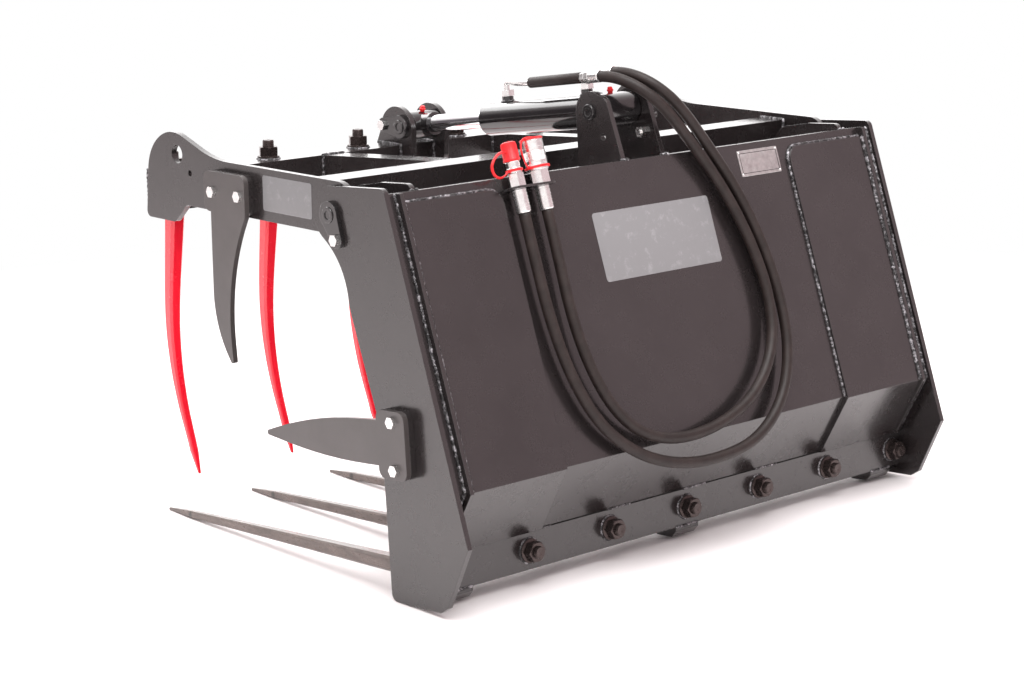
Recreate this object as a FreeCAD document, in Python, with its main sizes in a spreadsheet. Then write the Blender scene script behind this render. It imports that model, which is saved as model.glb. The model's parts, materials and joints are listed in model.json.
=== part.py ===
"""Manure grapple for a loader: a fork with straight lower tines and a hinged upper grab.

The fork is drawn with its lower tines level along Y and their axis at height 0. The grab is drawn
with its arms level and its hinge at (0, 0). The cylinder is drawn along -Y from its rear pin.
The whole part then stands on a floor on the front corners of its side plates and its tine tips.
"""
import FreeCAD, Part
import math
import os
import re
import Sketcher

DIMENSIONS = [
    # Side plates
    ("overall_width", 1270, "over the outer faces of the side plates"),
    ("side_thick", 10, "side plate"),
    ("side_proud", 10, "side plate past the back sheet, square to it"),
    ("side_top", 668, "top edge of a side plate"),
    ("side_apex_z", 66, "rearmost corner of a side plate"),
    ("side_heel_y", 66, "lower rear corner of a side plate"),
    ("side_heel_rise", 11, "that corner above the bottom edge"),
    ("side_heel_cut", 20, "that cut along the bottom edge"),
    ("side_drop", 56, "bottom edge of a side plate below the tine axis"),
    ("side_toe_y", 85, "front edge of a side plate"),
    ("side_knee_z", 245, "where the front edge starts to lean"),
    ("side_waist_y", 150, "front edge at the waist"),
    ("side_waist_z", 455, "height of the waist"),
    ("side_throat_y", 159, "front edge at the throat under the hinge"),
    ("side_throat_z", 534, "height of the throat"),
    ("side_corner", 14, "rounding of the side plate's outer corners"),
    ("side_neck_corner", 110, "rounding of the long bend in the front edge"),
    ("side_throat_corner", 140, "rounding of the throat"),
    # Back
    ("sheet_thick", 8, "back sheet"),
    ("back_lean", 15.3, "lean of the upper back sheet, degrees from upright"),
    ("fold_y", 93, "fold of the back sheet, rear face"),
    ("fold_z", 155, "height of that fold above the tine axis"),
    ("sheet_top", 657, "top edge of the back sheet"),
    ("pad_thick", 8, "raised panel on the back sheet"),
    ("pad_width", 222, "raised panel, between its outer rib and its inner edge"),
    ("pad_top", 640, "top edge of a raised panel"),
    ("pad_corner", 28, "rounding of a raised panel's upper inner corner"),
    ("rib_thick", 8, "outer rib on the back"),
    ("rib_inset", 30, "outer face of an outer rib in from the side plate's outer face"),
    ("rib_height", 14, "outer rib square to the back sheet"),
    # Tine bar
    ("bar_rear", 16, "rear face of the tine bar"),
    ("bar_depth", 80, "tine bar, front to rear"),
    ("bar_height", 70, "tine bar height"),
    ("bar_wall", 6, "tine bar wall"),
    ("foot_width", 60, "skid foot along the bar"),
    ("foot_depth", 62, "skid foot across the bar"),
    ("foot_height", 20, "skid foot under the bar"),
    ("foot_inset", 60, "middle of an end foot in from the side plate"),
    ("foot_chamfer", 12, "slanted ends of a skid foot"),
    # Tines
    ("end_tine_inset", 35, "end lower tine in from the side plate's outer face"),
    ("tine_count", 7, "lower tines"),
    ("tine_reach", 820, "tip of a lower tine"),
    ("tine_taper_end", 741, "start of the point of a lower tine"),
    ("tine_half", 14.5, "half the side of a tine at its root"),
    ("tine_flat", 0.66, "half the flat of a tine's side as a share of half the side"),
    ("tip_half", 7, "half the side where the point starts"),
    ("tip_end", 2.5, "half the side at the very tip"),
    ("thread_dia", 22, "tine thread"),
    ("seat_small", 12.5, "radius of a tine's conical seat at the nut end"),
    ("seat_large", 15, "radius of a tine's conical seat at the tine end"),
    ("seat_gap", 0.25, "between a tine and its sleeve, and a pin and its plate"),
    ("sleeve_dia", 45, "weld-in tine sleeve"),
    ("sleeve_nut_side", 3, "sleeve past the face on the nut side"),
    ("sleeve_tine_side", 8, "sleeve past the face on the tine side"),
    ("washer_dia", 44, "tine washer"),
    ("washer_thick", 4, "tine washer"),
    ("nut_flats", 34, "tine nut across flats"),
    ("nut_height", 17, "tine nut"),
    ("thread_proud", 6, "thread past the nut"),
    ("thread_gap", 0.3, "between a thread and its nut"),
    ("upper_inset", 55, "end upper tine in from the side plate's outer face"),
    ("upper_inner", 130, "innermost upper tines from the middle"),
    ("upper_side_count", 3, "upper tines on each side"),
    ("upper_half", 16, "half the side of an upper tine at its root"),
    ("upper_proud", 12, "upper tine's thread past its nut"),
    ("upper_lean", 6.6, "forward lean of an upper tine's root, degrees"),
    ("upper_neck", 30, "neck of an upper tine under its sleeve, where its lean starts"),
    ("upper_straight", 158, "straight part of an upper tine under its sleeve"),
    ("upper_bend", 26.6, "bend of an upper tine, degrees"),
    ("upper_radius", 551, "radius of that bend"),
    ("upper_run", 68, "straight part after the bend"),
    ("upper_point", 42, "point of an upper tine"),
    # Grab hinge
    ("hinge_y", 184, "hinge ahead of the origin"),
    ("hinge_z", 618, "hinge above the tine axis"),
    ("hinge_nose", 50, "radius of a side plate's nose round the hinge"),
    ("hinge_dia", 30, "hinge pin"),
    ("hinge_plate_inset", 63, "side plate's inner face to the inner hinge plate's outer face"),
    ("hinge_plate_thick", 10, "inner hinge plate"),
    ("hinge_plate_nose", 44, "radius of the inner hinge plate's nose"),
    ("hinge_plate_foot", 500, "lower end of the inner hinge plate on the sheet"),
    ("running_gap", 0.05, "radial gap of a pin in its bush"),
    ("hole_gap", 0.5, "radial gap of a bolt in its hole"),
    ("bush_dia", 50, "hinge bush of a grab arm"),
    ("bush_side_gap", 1, "hinge bush to the plates beside it"),
    ("pin_proud", 5, "plain end of a pin past its plate"),
    ("flag_thick", 8, "flag that keeps a pin"),
    ("flag_radius", 24, "flag round its pin"),
    ("flag_foot_radius", 15, "flag round its bolt"),
    ("flag_bolt_y", 18, "flag bolt behind the hinge"),
    ("flag_bolt_z", 43, "flag bolt below the hinge"),
    # Grab
    ("arm_thick", 12, "grab arm"),
    ("arm_side_gap", 3, "side plate to grab arm"),
    ("arm_top", 57, "top edge of an arm above the hinge"),
    ("arm_bottom", 38, "bottom edge of an arm below the hinge"),
    ("arm_tail", 42, "arm behind the hinge"),
    ("arm_tail_corner", 42, "rounding of an arm's tail"),
    ("arm_neck_y", 371, "where an arm's head rises from its top edge"),
    ("arm_crown_y", 509, "crown of an arm's head ahead of the hinge"),
    ("arm_crown", 105, "crown of an arm's head above the hinge"),
    ("arm_brow_y", 580, "front of an arm's head under the crown"),
    ("arm_brow_z", 61, "height of that point above the hinge"),
    ("arm_chin_y", 595, "front lower corner of an arm"),
    ("arm_chin", 74, "lowest edge of an arm's head below the hinge"),
    ("arm_chin_rear", 500, "rear end of an arm's chin"),
    ("arm_notch_y", 460, "notch behind the chin"),
    ("arm_neck_corner", 280, "rounding where an arm's head rises"),
    ("arm_crown_corner", 84, "rounding of an arm's head"),
    ("arm_chin_corner", 12, "rounding of the chin"),
    ("arm_big_hole", 35, "round hole in an arm's head"),
    ("arm_big_hole_y", 486, "that hole ahead of the hinge"),
    ("arm_big_hole_z", 56, "that hole above the hinge"),
    ("arm_small_hole", 12, "small hole in an arm's head"),
    ("arm_small_hole_y", 445, "small hole ahead of the hinge"),
    ("arm_small_hole_z", 24, "small hole above the hinge"),
    ("front_tube_y", 562, "front tube and upper tines ahead of the hinge"),
    ("front_tube_top", 13, "front tube's top above the hinge"),
    ("front_tube_depth", 80, "front tube, front to rear"),
    ("front_tube_height", 70, "front tube height"),
    ("rear_tube_y", 71, "rear face of the rear tube ahead of the hinge"),
    ("rear_tube_top", 45, "rear tube's top above the hinge"),
    ("rear_tube_side", 60, "rear tube side"),
    ("tube_wall", 6, "wall of the grab's tubes"),
    ("brace_x", 225, "brace from the middle"),
    ("brace_width", 50, "brace tube across"),
    ("brace_height", 40, "brace tube height"),
    ("brace_sink", 6, "brace's top below the rear tube's top"),
    # Side blades
    ("blade_thick", 10, "side blade"),
    ("spacer_thick", 12, "spacer under a side blade"),
    ("blade_corner", 16, "rounding of a blade's corners"),
    ("blade_tip_corner", 4, "rounding of a blade's tip"),
    ("low_blade_back", 5, "rear edge of a lower blade behind the origin"),
    ("low_blade_front", 70, "front edge of a lower blade's plate"),
    ("low_blade_top", 291, "top edge of a lower blade's plate"),
    ("low_blade_bottom", 171, "bottom edge of a lower blade's plate"),
    ("low_blade_root_top", 272, "upper edge of the blade at its plate"),
    ("low_blade_root_low", 192, "lower edge of the blade at its plate"),
    ("low_blade_mid_y", 245, "bend of the blade's upper edge"),
    ("low_blade_mid_top", 261, "height of that bend"),
    ("low_blade_mid_corner", 1050, "rounding of that bend"),
    ("low_blade_belly_y", 215, "bend of the blade's lower edge"),
    ("low_blade_belly", 187, "height of that bend"),
    ("low_blade_belly_corner", 1400, "rounding of that bend"),
    ("low_blade_tip_y", 390, "tip of a lower blade"),
    ("low_blade_tip_z", 214, "tip of a lower blade"),
    ("low_bolt_y", 25, "bolts of a lower blade"),
    ("low_bolt_high", 272, "upper bolt of a lower blade"),
    ("low_bolt_low", 188, "lower bolt of a lower blade"),
    ("up_blade_front", 370, "front edge of an upper blade's plate ahead of the hinge"),
    ("up_blade_back", 244, "rear edge of an upper blade's plate ahead of the hinge"),
    ("up_blade_top", 41, "top edge of an upper blade's plate above the hinge"),
    ("up_blade_low", 34, "bottom edge of an upper blade's plate below the hinge"),
    ("up_blade_root_front", 350, "front edge of the blade at its plate"),
    ("up_blade_heel_y", 311, "bend of the blade's rear edge"),
    ("up_blade_heel_z", 152, "that bend below the hinge"),
    ("up_blade_heel_corner", 390, "rounding of that bend"),
    ("up_blade_mid_z", 249, "bend of the blade's front edge below the hinge"),
    ("up_blade_mid_corner", 190, "rounding of that bend"),
    ("up_blade_tip_y", 293, "tip of an upper blade"),
    ("up_blade_tip_z", 322, "tip of an upper blade below the hinge"),
    ("up_bolt_front", 342, "front bolt of an upper blade"),
    ("up_bolt_back", 260, "rear bolt of an upper blade"),
    ("up_bolt_z", 3, "bolts of an upper blade above the hinge"),
    ("bolt_dia", 12, "blade and flag bolts"),
    ("bolt_flats", 19, "bolt heads and nuts across flats"),
    ("bolt_head", 7.5, "bolt head"),
    ("bolt_nut", 10, "bolt nut"),
    ("bolt_proud", 4, "bolt past its nut"),
    # Cylinder and its brackets
    ("rear_pin_y", 131, "rear cylinder pin ahead of the origin"),
    ("rear_pin_z", 745, "rear cylinder pin above the tine axis"),
    ("rod_pin_y", 519, "rod pin ahead of the hinge"),
    ("rod_pin_z", 51, "rod pin above the hinge"),
    ("pin_dia", 30, "cylinder pins"),
    ("pin_side_gap", 2, "rear eye to the ear beside it"),
    ("ear_gap", 94, "between the rear ears"),
    ("ear_thick", 10, "rear ear"),
    ("ear_radius", 38, "rear ear round its pin"),
    ("ear_back_y", 88, "rear corner of an ear's head"),
    ("ear_back_z", 770, "height of that corner"),
    ("ear_chin", 600, "where an ear's front edge turns back"),
    ("ear_foot", 535, "lower end of an ear on the sheet"),
    ("ear_corner", 20, "rounding of an ear's corners"),
    ("ear_bolt_y", 32, "bolt that keeps the rear pin, behind it"),
    ("ear_bolt_z", 46, "bolt that keeps the rear pin, below it"),
    ("lug_gap", 76, "between the rod lugs"),
    ("lug_thick", 12, "rod lug"),
    ("lug_radius", 50, "rod lug's round head"),
    ("lug_head_y", 17, "centre of the round head ahead of the rod pin"),
    ("lug_head_z", 10, "centre of the round head below the rod pin"),
    ("lug_set_back", 3, "lug behind the front tube's front face"),
    ("lug_foot", 36, "foot of a lug below the front tube's top"),
    ("lug_foot_depth", 32, "foot of a lug behind the front tube"),
    ("lug_bolt_y", 50, "bolt that keeps the rod pin, ahead of it"),
    ("eye_dia", 62, "rear eye tube"),
    ("eye_neck", 38, "rear eye's neck from its pin"),
    ("barrel_dia", 66, "cylinder barrel"),
    ("barrel_wall", 7, "cylinder barrel wall"),
    ("barrel_floor", 11, "closed end of the barrel"),
    ("barrel_end", 346, "front end of the barrel from the rear pin"),
    ("gland_length", 36, "gland inside the barrel"),
    ("gland_lip", 7, "gland ahead of the barrel"),
    ("gland_lip_dia", 58, "gland ahead of the barrel"),
    ("rod_dia", 35, "piston rod"),
    ("piston_length", 36, "piston"),
    ("piston_at", 272, "piston from the rear pin"),
    ("slide_gap", 0.05, "radial gap of the piston and of the rod"),
    ("rod_eye_dia", 58, "rod eye"),
    ("rod_eye_bore", 45.6, "rod eye's bore, wide because the linkage is opened there"),
    ("rod_eye_length", 70, "rod eye along its pin"),
    ("rod_neck", 47, "rod eye's neck from its pin"),
    ("rod_neck_dia", 46, "rod eye's neck"),
    ("port_dia", 22, "port boss"),
    ("port_height", 9, "port boss on the barrel"),
    ("port_front", 290, "front port from the rear pin"),
    ("port_rear", 63, "rear port from the rear pin"),
    ("fitting_flats", 24, "port fitting across flats"),
    ("fitting_height", 12, "port fitting"),
    ("pipe_dia", 12, "transfer pipe"),
    ("pipe_height", 64, "transfer pipe above the cylinder's axis"),
    ("pipe_side", 19, "transfer pipe beside the cylinder's axis"),
    ("pipe_end", 28, "rear end of the transfer pipe from the rear pin"),
    ("pipe_sleeve_dia", 20, "transfer pipe's sleeve"),
    ("pipe_sleeve", 144, "length of that sleeve"),
    ("pipe_union", 26, "bare pipe behind the sleeve"),
    ("pipe_bend", 24, "run of the pipe's bend before the sleeve"),
    ("pipe_lift", 6, "crest of the pipe over the front fitting"),
    ("elbow_side", 12, "rear fitting's elbow beside the cylinder's axis"),
    ("elbow_height", 69, "rear fitting's elbow above the cylinder's axis"),
    ("elbow_dia", 14, "rear fitting's elbow"),
    ("elbow_seat", 2, "elbow inside its fitting"),
    ("elbow_end", 22, "rear end of that elbow from the rear pin"),
    ("elbow_lead", 9, "straight end of that elbow"),
    # Couplers and hoses
    ("hose_dia", 21, "hose"),
    ("hose_gap", 0.3, "hose's end to the fitting it comes out of"),
    ("hose_lead", 38, "straight start of a hose"),
    ("coupler_stand", 22, "couplers off the back sheet"),
    ("coupler_inset", 27, "male coupler in from a raised panel's inner edge"),
    ("coupler_pitch", 55, "from one coupler to the other"),
    ("ferrule_low", 598, "lower end of the hose ferrules"),
    ("ferrule_length", 40, "hose ferrule and neck under the holder"),
    ("ferrule_dia", 26, "hose ferrule"),
    ("neck_dia", 22, "coupler's neck in its holder"),
    ("coupler_hex", 24, "coupler's hexagon along its axis"),
    ("male_flats", 27, "male coupler across flats"),
    ("female_flats", 32, "female coupler across flats"),
    ("male_dia", 24, "male coupler body"),
    ("female_dia", 40, "female coupler body"),
    ("coupler_body", 55, "coupler body above its hexagon"),
    ("cap_wall", 3, "dust cap"),
    ("cap_height", 32, "male coupler's cap over its coupler"),
    ("lid_thick", 4, "lid on the female coupler"),
    ("holder_thick", 4, "coupler holder"),
    ("holder_width", 104, "coupler holder"),
    ("holder_depth", 42, "coupler holder off the back sheet"),
]

# Routes of the two hoses between their fittings on the cylinder and their couplers, in the fork's frame
MALE_HOSE = [
    (-23, -78, 805),
    (-43, -46, 783),
    (-74, -25, 747),
    (-150, -22, 656),
    (-199, 2, 566),
    (-231, 32, 458),
    (-239, 60, 362),
    (-227, 86, 269),
    (-179, 109, 183),
    (-92, 124, 126),
    (12, 128, 110),
    (118, 125, 116),
    (212, 116, 149),
    (288, 100, 212),
    (330, 75, 305),
    (346, 45, 409),
    (348, 18, 512),
]
FEMALE_HOSE = [
    (8, -84, 800),
    (-12, -51, 778),
    (-42, -29, 743),
    (-118, -22, 652),
    (-170, 2, 562),
    (-203, 31, 458),
    (-212, 57, 366),
    (-186, 83, 278),
    (-108, 106, 206),
    (0, 117, 168),
    (112, 118, 160),
    (198, 111, 184),
    (254, 96, 240),
    (286, 74, 322),
    (296, 46, 412),
    (293, 18, 512),
]

doc = FreeCAD.newDocument("manure_grapple")
sheet = doc.addObject("Spreadsheet::Sheet", "Dims")
for row, (alias, value, note) in enumerate(DIMENSIONS, start=1):
    sheet.set("A%d" % row, note)
    sheet.set("B%d" % row, str(value))
    sheet.setAlias("B%d" % row, alias)
doc.recompute()
ALIASES = {alias for alias, value, note in DIMENSIONS}


def size(alias):
    """The value of one named size."""
    return float(getattr(sheet, alias))


def bound(text):
    """An expression in which the sheet's names point at the sheet."""
    def point_at_sheet(word):
        name = word.group(0)
        return "Dims." + name if name in ALIASES else name
    return re.sub(r"[a-z]\w*", point_at_sheet, str(text))


# Shared lines, as expressions of the sheet
INNER = "(overall_width / 2 - side_thick)"
RIB_INNER = "(overall_width / 2 - rib_inset - rib_thick)"
BORE = "(barrel_dia - 2 * barrel_wall)"
LOWER_PITCH = "((overall_width - 2 * end_tine_inset) / (tine_count - 1))"
UPPER_PITCH = "((overall_width / 2 - upper_inset - upper_inner) / (upper_side_count - 1))"
MALE_X = "(%s - pad_width - coupler_inset)" % RIB_INNER
COUPLER_X = {"male": MALE_X, "female": "(%s - coupler_pitch)" % MALE_X}
UPPER_SHIFT = "(overall_width / 2 - upper_inset + upper_inner)"
LOWER_SPOTS = ["(overall_width / 2 - end_tine_inset) - %d * %s" % (k, LOWER_PITCH)
               for k in range(int(size("tine_count")))]
UPPER_SPOTS = ["%s(upper_inner + %d * %s)" % (sign, k, UPPER_PITCH)
               for sign in ("", "-") for k in range(int(size("upper_side_count")))]
LOW_LEAN = "(atan((fold_y - bar_rear) / (fold_z - bar_height / 2)) / (1 deg))"


def sheet_line(z, off="0"):
    """Y at a height on the line that lies off from the upper back sheet's rear face."""
    return "(fold_y + (%s) / cos(back_lean) - ((%s) - fold_z) * tan(back_lean))" % (off, z)


def fold_point(off):
    """The fold of a skin that lies off from the back sheet's rear face."""
    spread = "(%s) / (1 + cos(back_lean + %s))" % (off, LOW_LEAN)
    return ("(fold_y + %s * (cos(back_lean) + cos(%s)))" % (spread, LOW_LEAN),
            "(fold_z + %s * (sin(back_lean) - sin(%s)))" % (spread, LOW_LEAN))


# Sketch and feature helpers
def new_body(label):
    body = doc.addObject("PartDesign::Body", label)
    body.Label = label
    body.AllowCompound = True
    return body


def origin_part(body, role):
    return [item for item in body.Origin.OriginFeatures if item.Role == role][0]


def new_sketch(body, name, role="YZ_Plane", lift="0"):
    sketch = body.newObject("Sketcher::SketchObject", name)
    sketch.AttachmentSupport = (origin_part(body, role), [""])
    sketch.MapMode = "FlatFace"
    sketch.setExpression("AttachmentOffset.Base.z", bound(lift))
    return sketch


def bind(sketch, kind, place, value, text):
    index = sketch.addConstraint(Sketcher.Constraint(kind, *place, value))
    sketch.setExpression("Constraints[%d]" % index, bound(text))


def draw_outline(sketch, points):
    """A closed polygon whose corners are bound to expressions."""
    first = sketch.GeometryCount
    count = len(points)
    angles = [2 * math.pi * i / count for i in range(count)]
    ring = [FreeCAD.Vector(50 * math.cos(a), 50 * math.sin(a), 0) for a in angles]
    for i in range(count):
        sketch.addGeometry(Part.LineSegment(ring[i], ring[(i + 1) % count]))
    for i in range(count):
        following = first + (i + 1) % count
        sketch.addConstraint(Sketcher.Constraint("Coincident", first + i, 2, following, 1))
    for i, (across, up) in enumerate(points):
        bind(sketch, "DistanceX", (-1, 1, first + i, 1), ring[i].x, across)
        bind(sketch, "DistanceY", (-1, 1, first + i, 1), ring[i].y, up)


def draw_circle(sketch, across, up, diameter):
    index = sketch.addGeometry(Part.Circle(FreeCAD.Vector(1, 1, 0), FreeCAD.Vector(0, 0, 1), 5))
    bind(sketch, "DistanceX", (-1, 1, index, 3), 1, across)
    bind(sketch, "DistanceY", (-1, 1, index, 3), 1, up)
    bind(sketch, "Diameter", (index,), 10, diameter)


def draw_hexagon(sketch, across, up, flats):
    corner = "(%s) / sqrt(3)" % flats
    draw_outline(sketch, [("(%s) + %s * cos(%d)" % (across, corner, 60 * k),
                           "(%s) + %s * sin(%d)" % (up, corner, 60 * k)) for k in range(6)])


def draw_tine_section(sketch, half):
    """A square with cut corners."""
    long_side = "(%s)" % half
    short_side = "(%s) * tine_flat" % half
    points = []
    for k, (a, b) in enumerate([(1, 1), (-1, 1), (-1, -1), (1, -1)]):
        pair = [("%d * %s" % (a, long_side), "%d * %s" % (b, short_side)),
                ("%d * %s" % (a, short_side), "%d * %s" % (b, long_side))]
        points += pair if k % 2 == 0 else pair[::-1]
    draw_outline(sketch, points)


def pad(body, sketch, length):
    feature = body.newObject("PartDesign::Pad", sketch.Name + "_pad")
    feature.Profile = sketch
    feature.setExpression("Length", bound(length))
    sketch.Visibility = False
    return feature


def pocket(body, sketch, both_ways=None):
    """Cuts the sketch right through, or by a length centred on the sketch."""
    feature = body.newObject("PartDesign::Pocket", sketch.Name + "_pocket")
    feature.Profile = sketch
    feature.SideType = "Symmetric"
    if both_ways is None:
        feature.Type = "ThroughAll"
    else:
        feature.setExpression("Length", bound(both_ways))
    sketch.Visibility = False
    return feature


def turned(body, name, profile, axis_role="Y_Axis", role="XY_Plane", kind="PartDesign::Revolution"):
    """A profile turned round one of the body's axes; Groove cuts with it."""
    sketch = new_sketch(body, name, role)
    draw_outline(sketch, profile)
    feature = body.newObject(kind, name + "_turn")
    feature.Profile = sketch
    feature.ReferenceAxis = (origin_part(body, axis_role), [""])
    feature.Angle = 360
    sketch.Visibility = False
    return feature


def in_row(body, pitch, count):
    """Repeats the whole body along X."""
    pattern = body.newObject("PartDesign::LinearPattern", body.Name + "_row")
    pattern.TransformMode = "Whole shape"
    pattern.Direction = (origin_part(body, "X_Axis"), [""])
    pattern.setExpression("Length", bound("%s * (%s - 1)" % (pitch, count)))
    pattern.setExpression("Occurrences", bound(count))
    body.Tip = pattern


def mirrored(body):
    """Adds the body's mirror image on the other side of the middle."""
    mirror = body.newObject("PartDesign::Mirrored", body.Name + "_mirror")
    mirror.TransformMode = "Whole shape"
    mirror.MirrorPlane = (origin_part(body, "YZ_Plane"), [""])
    body.Tip = mirror


def fillet(body, radius, wanted):
    """Rounds the straight edges whose two ends pass the test."""
    doc.recompute()
    base = body.Tip
    edges = []
    for number, edge in enumerate(base.Shape.Edges, start=1):
        ends = [vertex.Point for vertex in edge.Vertexes]
        if len(ends) == 2 and wanted(*ends):
            edges.append("Edge%d" % number)
    feature = body.newObject("PartDesign::Fillet", "%s_%s" % (body.Name, radius))
    feature.Base = (base, edges)
    feature.setExpression("Radius", bound(radius))
    body.Tip = feature


def plate(label, thick, outline, holes=(), discs=(), lift="0"):
    """A plate in the YZ plane. An outline point may name the radius of its corner."""
    body = new_body(label)
    outline_sketch = new_sketch(body, label + "_outline", lift=lift)
    draw_outline(outline_sketch, [point[:2] for point in outline])
    pad(body, outline_sketch, thick)
    for radius in sorted({point[2] for point in outline if len(point) > 2}):
        doc.recompute()
        spots = [outline_sketch.Geometry[i].StartPoint for i, point in enumerate(outline)
                 if point[2:] == (radius,)]
        fillet(body, radius, lambda a, b: abs(a.y - b.y) + abs(a.z - b.z) < 1e-3
               and any(abs(a.y - s.x) + abs(a.z - s.y) < 1e-3 for s in spots))
    if discs:
        disc_sketch = new_sketch(body, label + "_discs", lift=lift)
        for disc in discs:
            draw_circle(disc_sketch, *disc)
        pad(body, disc_sketch, thick)
    if holes:
        hole_sketch = new_sketch(body, label + "_holes", lift=lift)
        for hole in holes:
            draw_circle(hole_sketch, *hole)
        pocket(body, hole_sketch)
    return body


def box_tube(label, half_length, low, high, wall, holes=None):
    """A box tube along X, with holes through it where tines pass."""
    body = new_body(label)
    section = new_sketch(body, label + "_section", lift="-(%s)" % half_length)
    corners = [(low[0], low[1]), (high[0], low[1]), (high[0], high[1]), (low[0], high[1])]
    draw_outline(section, corners)
    draw_outline(section, [("%s + %d * %s" % (y, a, wall), "%s + %d * %s" % (z, b, wall))
                           for (y, z), (a, b) in zip(corners, [(1, 1), (-1, 1), (-1, -1), (1, -1)])])
    pad(body, section, "2 * (%s)" % half_length)
    if holes:
        role, across, spots = holes
        hole_sketch = new_sketch(body, label + "_holes", role)
        for spot in spots:
            draw_circle(hole_sketch, spot, across, "sleeve_dia")
        pocket(body, hole_sketch)
    return body


def rod_along_x(label, pieces):
    """Round bars along X: each has its Y, Z, diameter, start and length."""
    body = new_body(label)
    for k, (y, z, diameter, start, length) in enumerate(pieces):
        sketch = new_sketch(body, "%s_bar_%d" % (label, k), lift=start)
        draw_circle(sketch, y, z, diameter)
        pad(body, sketch, length)
    return body


def bolts(body, spots, head_at, shank, nut_face=None):
    """Hexagon bolts along X with their heads outside; the nuts bear on nut_face, if they have any."""
    rows = [("heads", head_at, "bolt_head"), ("shanks", "%s - (%s)" % (head_at, shank), shank)]
    if nut_face:
        rows.append(("nuts", "%s - bolt_nut" % nut_face, "bolt_nut"))
    for name, lift, length in rows:
        sketch = new_sketch(body, "%s_%s" % (body.Name, name), lift=lift)
        for y, z in spots:
            if name == "shanks":
                draw_circle(sketch, y, z, "bolt_dia")
            else:
                draw_hexagon(sketch, y, z, "bolt_flats")
        pad(body, sketch, length)


def flag(body, pin, bolt, lift):
    """The flag plate that keeps a pin from turning, from the pin to its bolt."""
    steps = [size_of(bolt[0]) - size_of(pin[0]), size_of(bolt[1]) - size_of(pin[1])]
    slope = math.degrees(math.atan2(steps[1], steps[0]))
    web = new_sketch(body, body.Name + "_web", lift=lift)
    sides = []
    for (y, z), radius, turns in [(pin, "flag_radius", 90), (bolt, "flag_foot_radius", 90),
                                  (bolt, "flag_foot_radius", -90), (pin, "flag_radius", -90)]:
        sides.append(("%s + 0.98 * %s * cos(%.3f)" % (y, radius, slope + turns),
                      "%s + 0.98 * %s * sin(%.3f)" % (z, radius, slope + turns)))
    draw_outline(web, sides)
    pad(body, web, "flag_thick")
    for name, (y, z), radius in [("head", pin, "flag_radius"), ("foot", bolt, "flag_foot_radius")]:
        disc = new_sketch(body, "%s_%s" % (body.Name, name), lift=lift)
        draw_circle(disc, y, z, "2 * %s" % radius)
        pad(body, disc, "flag_thick")
    hole = new_sketch(body, body.Name + "_bolt_hole", lift=lift)
    draw_circle(hole, bolt[0], bolt[1], "bolt_dia")
    pocket(body, hole, "4 * flag_thick")


def size_of(text):
    """The value of a sum of named sizes such as -hinge_y + flag_bolt_y."""
    total = 0.0
    for sign, name in re.findall(r"([+-]?)\s*([a-z]\w*)", text):
        total += -size(name) if sign == "-" else size(name)
    return total


# Where things stand: the fork tilts until its tine tips and its side plates share the floor
toe_radius = size("side_corner")
toe_to_tip = size("tine_reach") - size("side_toe_y") + toe_radius
toe_drop = size("side_drop") - toe_radius - size("tip_end")
tilt = (math.atan2(toe_drop, toe_to_tip)
        + math.asin(toe_radius / math.hypot(toe_to_tip, toe_drop)))
turn = FreeCAD.Rotation(FreeCAD.Vector(1, 0, 0), math.degrees(tilt))
tine_tip = turn.multVec(FreeCAD.Vector(0, -size("tine_reach"), -size("tip_end")))
lean = math.radians(size("back_lean"))
apex_y = (size("fold_y") + size("side_proud") / math.cos(lean)
          - (size("side_apex_z") - size("fold_z")) * math.tan(lean))
apex = turn.multVec(FreeCAD.Vector(0, apex_y, size("side_apex_z")))
FORK = FreeCAD.Placement(FreeCAD.Vector(0, -(tine_tip.y + apex.y) / 2, -tine_tip.z), turn)
hinge_at = FORK.multVec(FreeCAD.Vector(0, -size("hinge_y"), size("hinge_z")))
GRAB = FreeCAD.Placement(hinge_at, FreeCAD.Rotation())
rear_pin_at = FORK.multVec(FreeCAD.Vector(0, -size("rear_pin_y"), size("rear_pin_z")))
rod_pin_at = GRAB.multVec(FreeCAD.Vector(0, -size("rod_pin_y"), size("rod_pin_z")))
reach = rod_pin_at.sub(rear_pin_at)
CYLINDER = FreeCAD.Placement(rear_pin_at, FreeCAD.Rotation(FreeCAD.Vector(0, -1, 0), reach))
inner_face = size("overall_width") / 2 - size("side_thick")
PARTS = []


def place(body, frame, x=0.0, y=0.0, z=0.0):
    body.Placement = frame.multiply(FreeCAD.Placement(FreeCAD.Vector(x, y, z), FreeCAD.Rotation()))
    PARTS.append(body)


# Side plates, inner hinge plates and grab arms come in pairs
def side_plate(label):
    outline = [
        ("-hinge_y", "side_top"),
        (sheet_line("side_top", "side_proud"), "side_top", "side_corner"),
        (sheet_line("side_apex_z", "side_proud"), "side_apex_z"),
        ("side_heel_y", "side_heel_rise - side_drop"),
        ("side_heel_y - side_heel_cut", "-side_drop"),
        ("-side_toe_y", "-side_drop", "side_corner"),
        ("-side_toe_y", "side_knee_z", "side_neck_corner"),
        ("-side_waist_y", "side_waist_z", "side_neck_corner"),
        ("-side_throat_y", "side_throat_z", "side_throat_corner"),
        ("-hinge_y - hinge_nose * 0.6", "hinge_z - hinge_nose * 0.8"),
    ]
    holes = [
        ("-hinge_y", "hinge_z", "hinge_dia + 2 * seat_gap"),
        ("-hinge_y + flag_bolt_y", "hinge_z - flag_bolt_z", "bolt_dia"),
        ("-low_bolt_y", "low_bolt_high", "bolt_dia + 2 * hole_gap"),
        ("-low_bolt_y", "low_bolt_low", "bolt_dia + 2 * hole_gap"),
    ]
    return plate(label, "side_thick", outline, holes, [("-hinge_y", "hinge_z", "2 * hinge_nose")])


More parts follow.
